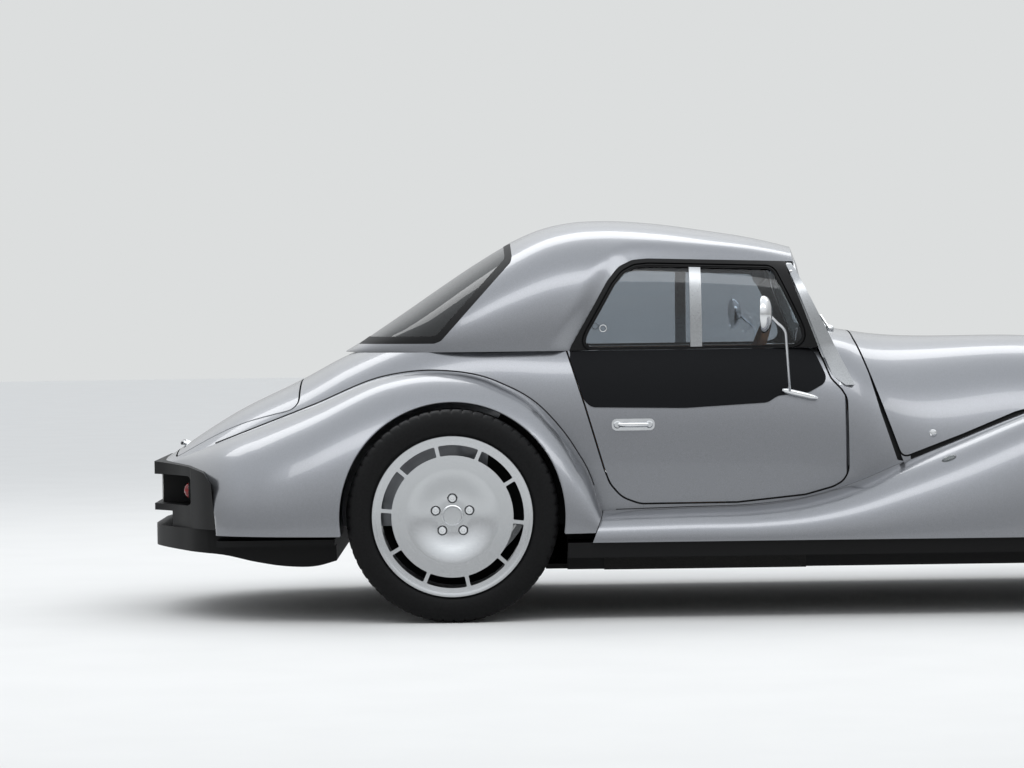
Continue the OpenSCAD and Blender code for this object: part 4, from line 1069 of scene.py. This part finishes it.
def between(a, b, ts):
    """Points on the line from a to b"""
    return [a + (b - a) * t for t in ts]


HANDLE_X, HANDLE_Z, HANDLE_HALF, LEVER = -470, 624, (70, 19), 46
handle_y = on_side(HANDLE_X, HANDLE_Z, 0)[1]
corners = [(HANDLE_X + i * HANDLE_HALF[0], HANDLE_Z + j * HANDLE_HALF[1])
    for i, j in ((-1, -1), (1, -1), (1, 1), (-1, 1))]
handle = prism(rounded(corners, 19, 10), "xz", handle_y - 5, handle_y + 6)
lever = [on_side(HANDLE_X + u, HANDLE_Z, 15 - 9 * abs(u / LEVER) ** 3) for u in range(-LEVER, LEVER + 1, 4)]
boolean(handle, "UNION", tube(lever, 9, 16))
for dx in (-52, 52):
    boss = [(r, handle_y + h) for r, h in ((0, 2), (12, 2), (12, -8), (9, -11), (0, -11))]
    boolean(handle, "UNION", revolve(boss, (HANDLE_X + dx, 0, HANDLE_Z), "y", 32))
pair(handle, "door_handle", CHROME, "door", "door_fittings")

BAR_ENDS = on_side(18, 730, 11), on_side(134, 701, 11)
FOOT, ELBOW, HEAD = on_side(43, 722, 12), np.array([20, -800, 930]), np.array([-52, -858, 978])
mirror_bar = tube(between(*BAR_ENDS, np.linspace(0, 1, 12)), [4, 8, 9.5] + [10] * 6 + [9.5, 8, 4], 20)
bend_start, bend_end = between(FOOT, ELBOW, [0.9])[0], between(ELBOW, HEAD, [0.35])[0]
stalk = between(FOOT, ELBOW, np.linspace(0, 0.9, 10))
stalk += [bend_start * (1 - t) ** 2 + ELBOW * 2 * t * (1 - t) + bend_end * t ** 2
    for t in np.linspace(0, 1, 8)[1:]]
stalk += [ELBOW + (HEAD - ELBOW) * t + np.array([16, 6, 0]) * (t - 0.35) / 0.65
    for t in np.linspace(0.5, 1, 5)]
pair(mirror_bar, "mirror_bar", CHROME, "door")
pair(tube(stalk, 5, 16), "mirror_stalk", CHROME, "door")
HEAD_TURN = Matrix.Rotation(math.radians(-9), 4, "Z")
bowl = smooth([(54, -3), (58, -7), (60, -2), (59, 5), (54, 13), (42, 20), (24, 25), (0, 27)], 4).tolist()
head = revolve(bowl + [(0, -2.5), (53.9, -2.5)], (0, 0, 0), "x", 72)
pair(turned_to(head, HEAD, HEAD_TURN), "mirror_head", CHROME, "door")
mirror_glass = revolve([(0, -5), (53.5, -5), (53.5, -2.8), (0, -2.8)], (0, 0, 0), "x", 72)
pair(turned_to(mirror_glass, HEAD, HEAD_TURN), "mirror_glass", MIRROR, "door")


def torus(radius, thick, centre, axis, sides, segments, shift=0):
    """Round ring"""
    profile = [(radius + thick * math.cos(t), thick * math.sin(t) + shift)
        for t in np.linspace(0, 2 * math.pi, sides, endpoint=False)]
    return revolve(profile, centre, axis, segments)


# Finger ring on the sliding pane, catch of the bonnet, side repeater and the screws of the pillar
RING_X, RING_Z = -562, 938
pane_ring = torus(11, 2, (RING_X, -float(top_y(RING_X, RING_Z, 6)), RING_Z), "y", 12, 40, -1.5)
pair(pane_ring, "pane_ring", CHROME, "door")
CATCH = [(0, -9), (5, -9), (6, -7), (11, -6), (13, -3), (13, 8), (0, 8)]
pair(revolve(CATCH, on_side(518, 578, 0), "y", 40), "bonnet_catch", CHROME, "bonnet")
repeater_turn = Matrix.Rotation(math.radians(-22), 4, "Y") @ Matrix.Rotation(math.radians(38), 4, "X")
repeater = ball((545, -783, 502), (25, 13, 7), repeater_turn)
pair(repeater, "side_repeater", GLASS, "car")
SCREW = [(0, -3), (3, -3), (5.5, -1.5), (5.5, 6), (0, 6)]
for number, (x, z) in enumerate(((62, 1116), (236, 760)), 1):
    screw = revolve(SCREW, (x, -float(top_y(SCREEN_STATION, max(z, BELT), 1)), z), "y", 24)
    pair(screw, f"pillar_screw_{number}", CHROME, "car")

# Handle of the boot lid
LID_X, LID_Z, LID_HALF = -1978, 566, 70
lid_path = [(LID_X - 14, y, LID_Z - 4 * abs(y / LID_HALF) ** 4) for y in np.linspace(-LID_HALF, LID_HALF, 29)]
lid_bar = tube(lid_path, 6, 16)
for y in (-52, 52):
    boolean(lid_bar, "UNION", tube([(LID_X - 12, y, LID_Z - 2), (LID_X + 14, y, LID_Z - 14)], 7, 16))
piece(lid_bar, "boot_lid_bar", CHROME, "boot_lid")


# Wipers on the screen, and the mirror inside
def on_screen(y, z, d):
    """Point d ahead of the windscreen"""
    return np.array([float(screen_x(y, z)) + d, y, z])


for number, y in enumerate((-330, 90), 1):
    pivot = on_screen(y, 925, 46)
    blade = tube([on_screen(y + u, 962 + 0.03 * u, 24) for u in np.linspace(-60, 230, 24)], 5, 10)
    piece(blade, f"wiper_blade_{number}", RUBBER, "car")
    arm = tube(between(pivot, on_screen(y + 90, 968, 33), np.linspace(0, 1, 10)), 4.5, 12)
    boolean(arm, "UNION", ball(pivot, (16, 16, 13)))
    piece(arm, f"wiper_arm_{number}", CHROME, "car")
inner_mirror = ball((-10, 0, 1108), (14, 95, 30), Matrix.Rotation(math.radians(8), 4, "Z"))
boolean(inner_mirror, "UNION", tube([(-4, 0, 1120), (40, 0, 1160)], 6, 12))
piece(inner_mirror, "inside_mirror", TRIM, "car")

# Closing plate of each sill, and its lower edge along the floor
SILL = [(-690, 152), (1000, 152), (1000, 206), (-560, 206), (-560, 340), (-690, 340)]
pair(prism(SILL, "xz", -640, -632), "sill_closing_plate", TRIM, "car")

# Seats: a base and two pads, blown up by their filling
SEAT_Y, SEAT_W, PAD_INSET, BASE_INSET, PAD_CAP = 305, 420, 16, 10, 22
CHANNEL_Y, CHANNEL_W, CHANNEL_D = 74, 8, 5
VOXEL, PRESSURE, CLOTH_FRAMES = 6, 4, 20
CUSHION = [(-506, 286), (-118, 292), (-116, 332), (-150, 336), (-506, 303)]
BACK = [(-566, 326), (-638, 640), (-650, 760), (-666, 782), (-690, 780), (-700, 748), (-696, 620),
    (-640, 326)]
BASE = [(-640, 166.3), (-150, 166.3), (-112, 226), (-112, 284), (-560, 276), (-640, 318)]


def seat_prism(outline, inset):
    """Side outline pushed through the width of the right-hand seat"""
    return prism(outline, "xz", -SEAT_Y - SEAT_W / 2 + inset, -SEAT_Y + SEAT_W / 2 - inset)


def pad(outline, facing):
    """Pad swollen from a smaller shape, with two sewn channels on the side it faces"""
    made = seat_prism(rounded(outline, 20), PAD_INSET)
    remesh = made.modifiers.new("remesh", "REMESH")
    remesh.mode, remesh.voxel_size = "VOXEL", VOXEL * MM
    applied(made)
    rest = np.array([v.co for v in made.data.vertices])
    cloth = made.modifiers.new("cloth", "CLOTH").settings
    cloth.use_pressure, cloth.uniform_pressure_force = True, PRESSURE
    cloth.effector_weights.gravity = 0
    for number in range(1, CLOTH_FRAMES + 1):
        bpy.context.scene.frame_set(number)
    applied(made)
    bpy.context.scene.frame_set(1)
    moved = np.array([v.co for v in made.data.vertices]) - rest
    length = np.linalg.norm(moved, axis=1, keepdims=True)
    points = rest + moved * np.minimum(1, PAD_CAP * MM / np.maximum(length, 1e-9))
    normals = np.array([v.normal for v in made.data.vertices])
    off = np.abs(np.abs(points[:, 1] / MM + SEAT_Y) - CHANNEL_Y)
    press = np.exp(-(off / CHANNEL_W) ** 2) * np.clip(normals @ np.asarray(facing, float), 0, 1)
    points -= normals * (press * CHANNEL_D * MM)[:, None]
    made.data.vertices.foreach_set("co", points.ravel())
    made.data.update()
    return made


pair(pad(CUSHION, (0, 0, 1)), "seat_cushion", LEATHER, "car", "seat")
pair(pad(BACK, (1, 0, 0.2)), "seat_back", LEATHER, "car")
pair(seat_prism(rounded(BASE, 14), BASE_INSET), "seat_base", TRIM, "car")

# Steering wheel and dials
STEER, STEER_TURN = (-60, -305, 800), Matrix.Rotation(math.radians(110), 4, "Y")
HUB = [(0, -8), (22, -7), (34, 0), (36, 8), (36, 30), (18, 34), (18, 199), (0, 199)]
steering_rim = turned_to(torus(167, 13, (0, 0, 0), "z", 20, 96), STEER, STEER_TURN)
piece(steering_rim, "steering_wheel_rim", LEATHER, "steering_wheel", "steering_wheel")
hub = revolve(HUB, (0, 0, 0), "z", 64)
for i in range(3):
    spoke = block((20, 162), (-11, 11), (-3, 3))
    spoke.data.transform(Matrix.Rotation(math.radians(90 + 120 * i), 4, "Z"))
    boolean(hub, "UNION", spoke)
piece(turned_to(hub, STEER, STEER_TURN), "steering_wheel_spokes", ALLOY, "steering_wheel")
DASH_X = 170
DIALS = [(-395, 724, 40), (-215, 724, 40), (-70, 728, 28), (0, 728, 28), (70, 728, 28)]
for number, (y, z, r) in enumerate(DIALS, 1):
    bezel = revolve([(r - 4, -1), (r - 2, -7), (r + 2, -7), (r + 4, -1)], (DASH_X, y, z), "x", 48)
    piece(bezel, f"dial_bezel_{number}", CHROME, "car")
    dial = revolve([(0, -2), (r - 4.3, -2), (r - 4.3, -0.5), (0, -0.5)], (DASH_X, y, z), "x", 48)
    piece(dial, f"dial_face_{number}", TRIM, "car")

# Finishes of the parts that are shown as they were drawn
SHOWN = {"chassis_tub": CARPET, "engine": DARK, "grille": CHROME, "front_splitter": TRIM, "headlamps": CHROME,
    "headlamp_lenses": GLASS, "side_skirts": TRIM, "bulkheads": CARPET, "hinge_pins": DARK,
    "dash": LEATHER, "front_axle": DARK, "rear_axle": DARK, "knuckle_right": DARK, "knuckle_left": DARK}
for node, mat in SHOWN.items():
    mesh = frame["nodes"][node].data
    mesh.materials.clear()
    mesh.materials.append(mat)

# Studio: pale floor, pale sky for the camera, soft light from above
FLOOR_HALF = 40000
floor = block((-FLOOR_HALF, FLOOR_HALF), (-FLOOR_HALF, FLOOR_HALF), (-20, 0))
floor.name = "studio_floor"
floor.data.materials.append(FLOOR)


def softbox(name, place, target, size, power):
    """Strip of soft light that faces its target"""
    light = bpy.data.lights.new(name, "AREA")
    light.shape = "RECTANGLE"
    light.size, light.size_y = size
    light.energy = power
    made = bpy.data.objects.new(name, light)
    bpy.context.scene.collection.objects.link(made)
    made.location = place
    made.rotation_euler = (Vector(target) - Vector(place)).to_track_quat("-Z", "Y").to_euler()


BOX_SIZE, BOX_WATTS, BOX_Z, BOX_TARGET = (13, 2), 165, 6, (0, 0, 0.7)
for name, y in (("softbox_right", -4.0), ("softbox_left", 4.0)):
    softbox(name, (0, y, BOX_Z), BOX_TARGET, BOX_SIZE, BOX_WATTS)
world = bpy.data.worlds.new("studio")
bpy.context.scene.world = world
world.use_nodes = True
sky = world.node_tree
sky.nodes.clear()
path = add(sky, "ShaderNodeLightPath")
height = add(sky, "ShaderNodeSeparateXYZ",
    {"Vector": add(sky, "ShaderNodeTexCoord").outputs["Generated"]}).outputs["Z"]
dome = ramp(sky, height, [(0.0, "#8a8a8a"), (0.12, "#a6a8aa"), (0.35, "#d8dadc"), (0.7, "#f4f8fc")])
# Paint and metal see a brighter dome, with a share of the plain background that the camera and the glass see
DOME_MORE, PLAIN_SHARE = 0.4, 0.25
strength = add(sky, "ShaderNodeMath", {0: path.outputs["Is Glossy Ray"], 1: DOME_MORE, 2: 1.0},
    operation="MULTIPLY_ADD").outputs["Value"]
lit = add(sky, "ShaderNodeBackground", {"Color": dome, "Strength": strength})
plain = add(sky, "ShaderNodeBackground", {"Color": linear("#dcdede"), "Strength": 1.0})
seen = add(sky, "ShaderNodeMath", {0: path.outputs["Is Camera Ray"], 1: path.outputs["Is Transmission Ray"]},
    operation="MAXIMUM").outputs["Value"]
seen = add(sky, "ShaderNodeMath", {0: path.outputs["Is Glossy Ray"], 1: PLAIN_SHARE, 2: seen},
    operation="MULTIPLY_ADD", use_clamp=True).outputs["Value"]
mixed = add(sky, "ShaderNodeMixShader",
    {"Fac": seen, 1: lit.outputs["Background"], 2: plain.outputs["Background"]})
add(sky, "ShaderNodeOutputWorld", {"Surface": mixed.outputs["Shader"]})

camera_data = bpy.data.cameras.new("camera")
camera_data.lens, camera_data.sensor_width, camera_data.clip_end = 135, 36, 200
camera = bpy.data.objects.new("camera", camera_data)
bpy.context.scene.collection.objects.link(camera)
camera.matrix_world = (Matrix.Translation((-0.863, -13.18, 1.035))
    @ Matrix.Rotation(math.radians(90 - 1.253), 4, "X") @ Matrix.Rotation(math.radians(-0.8), 4, "Z"))
bpy.context.scene.camera = camera
bpy.context.scene.view_settings.view_transform = "Standard"
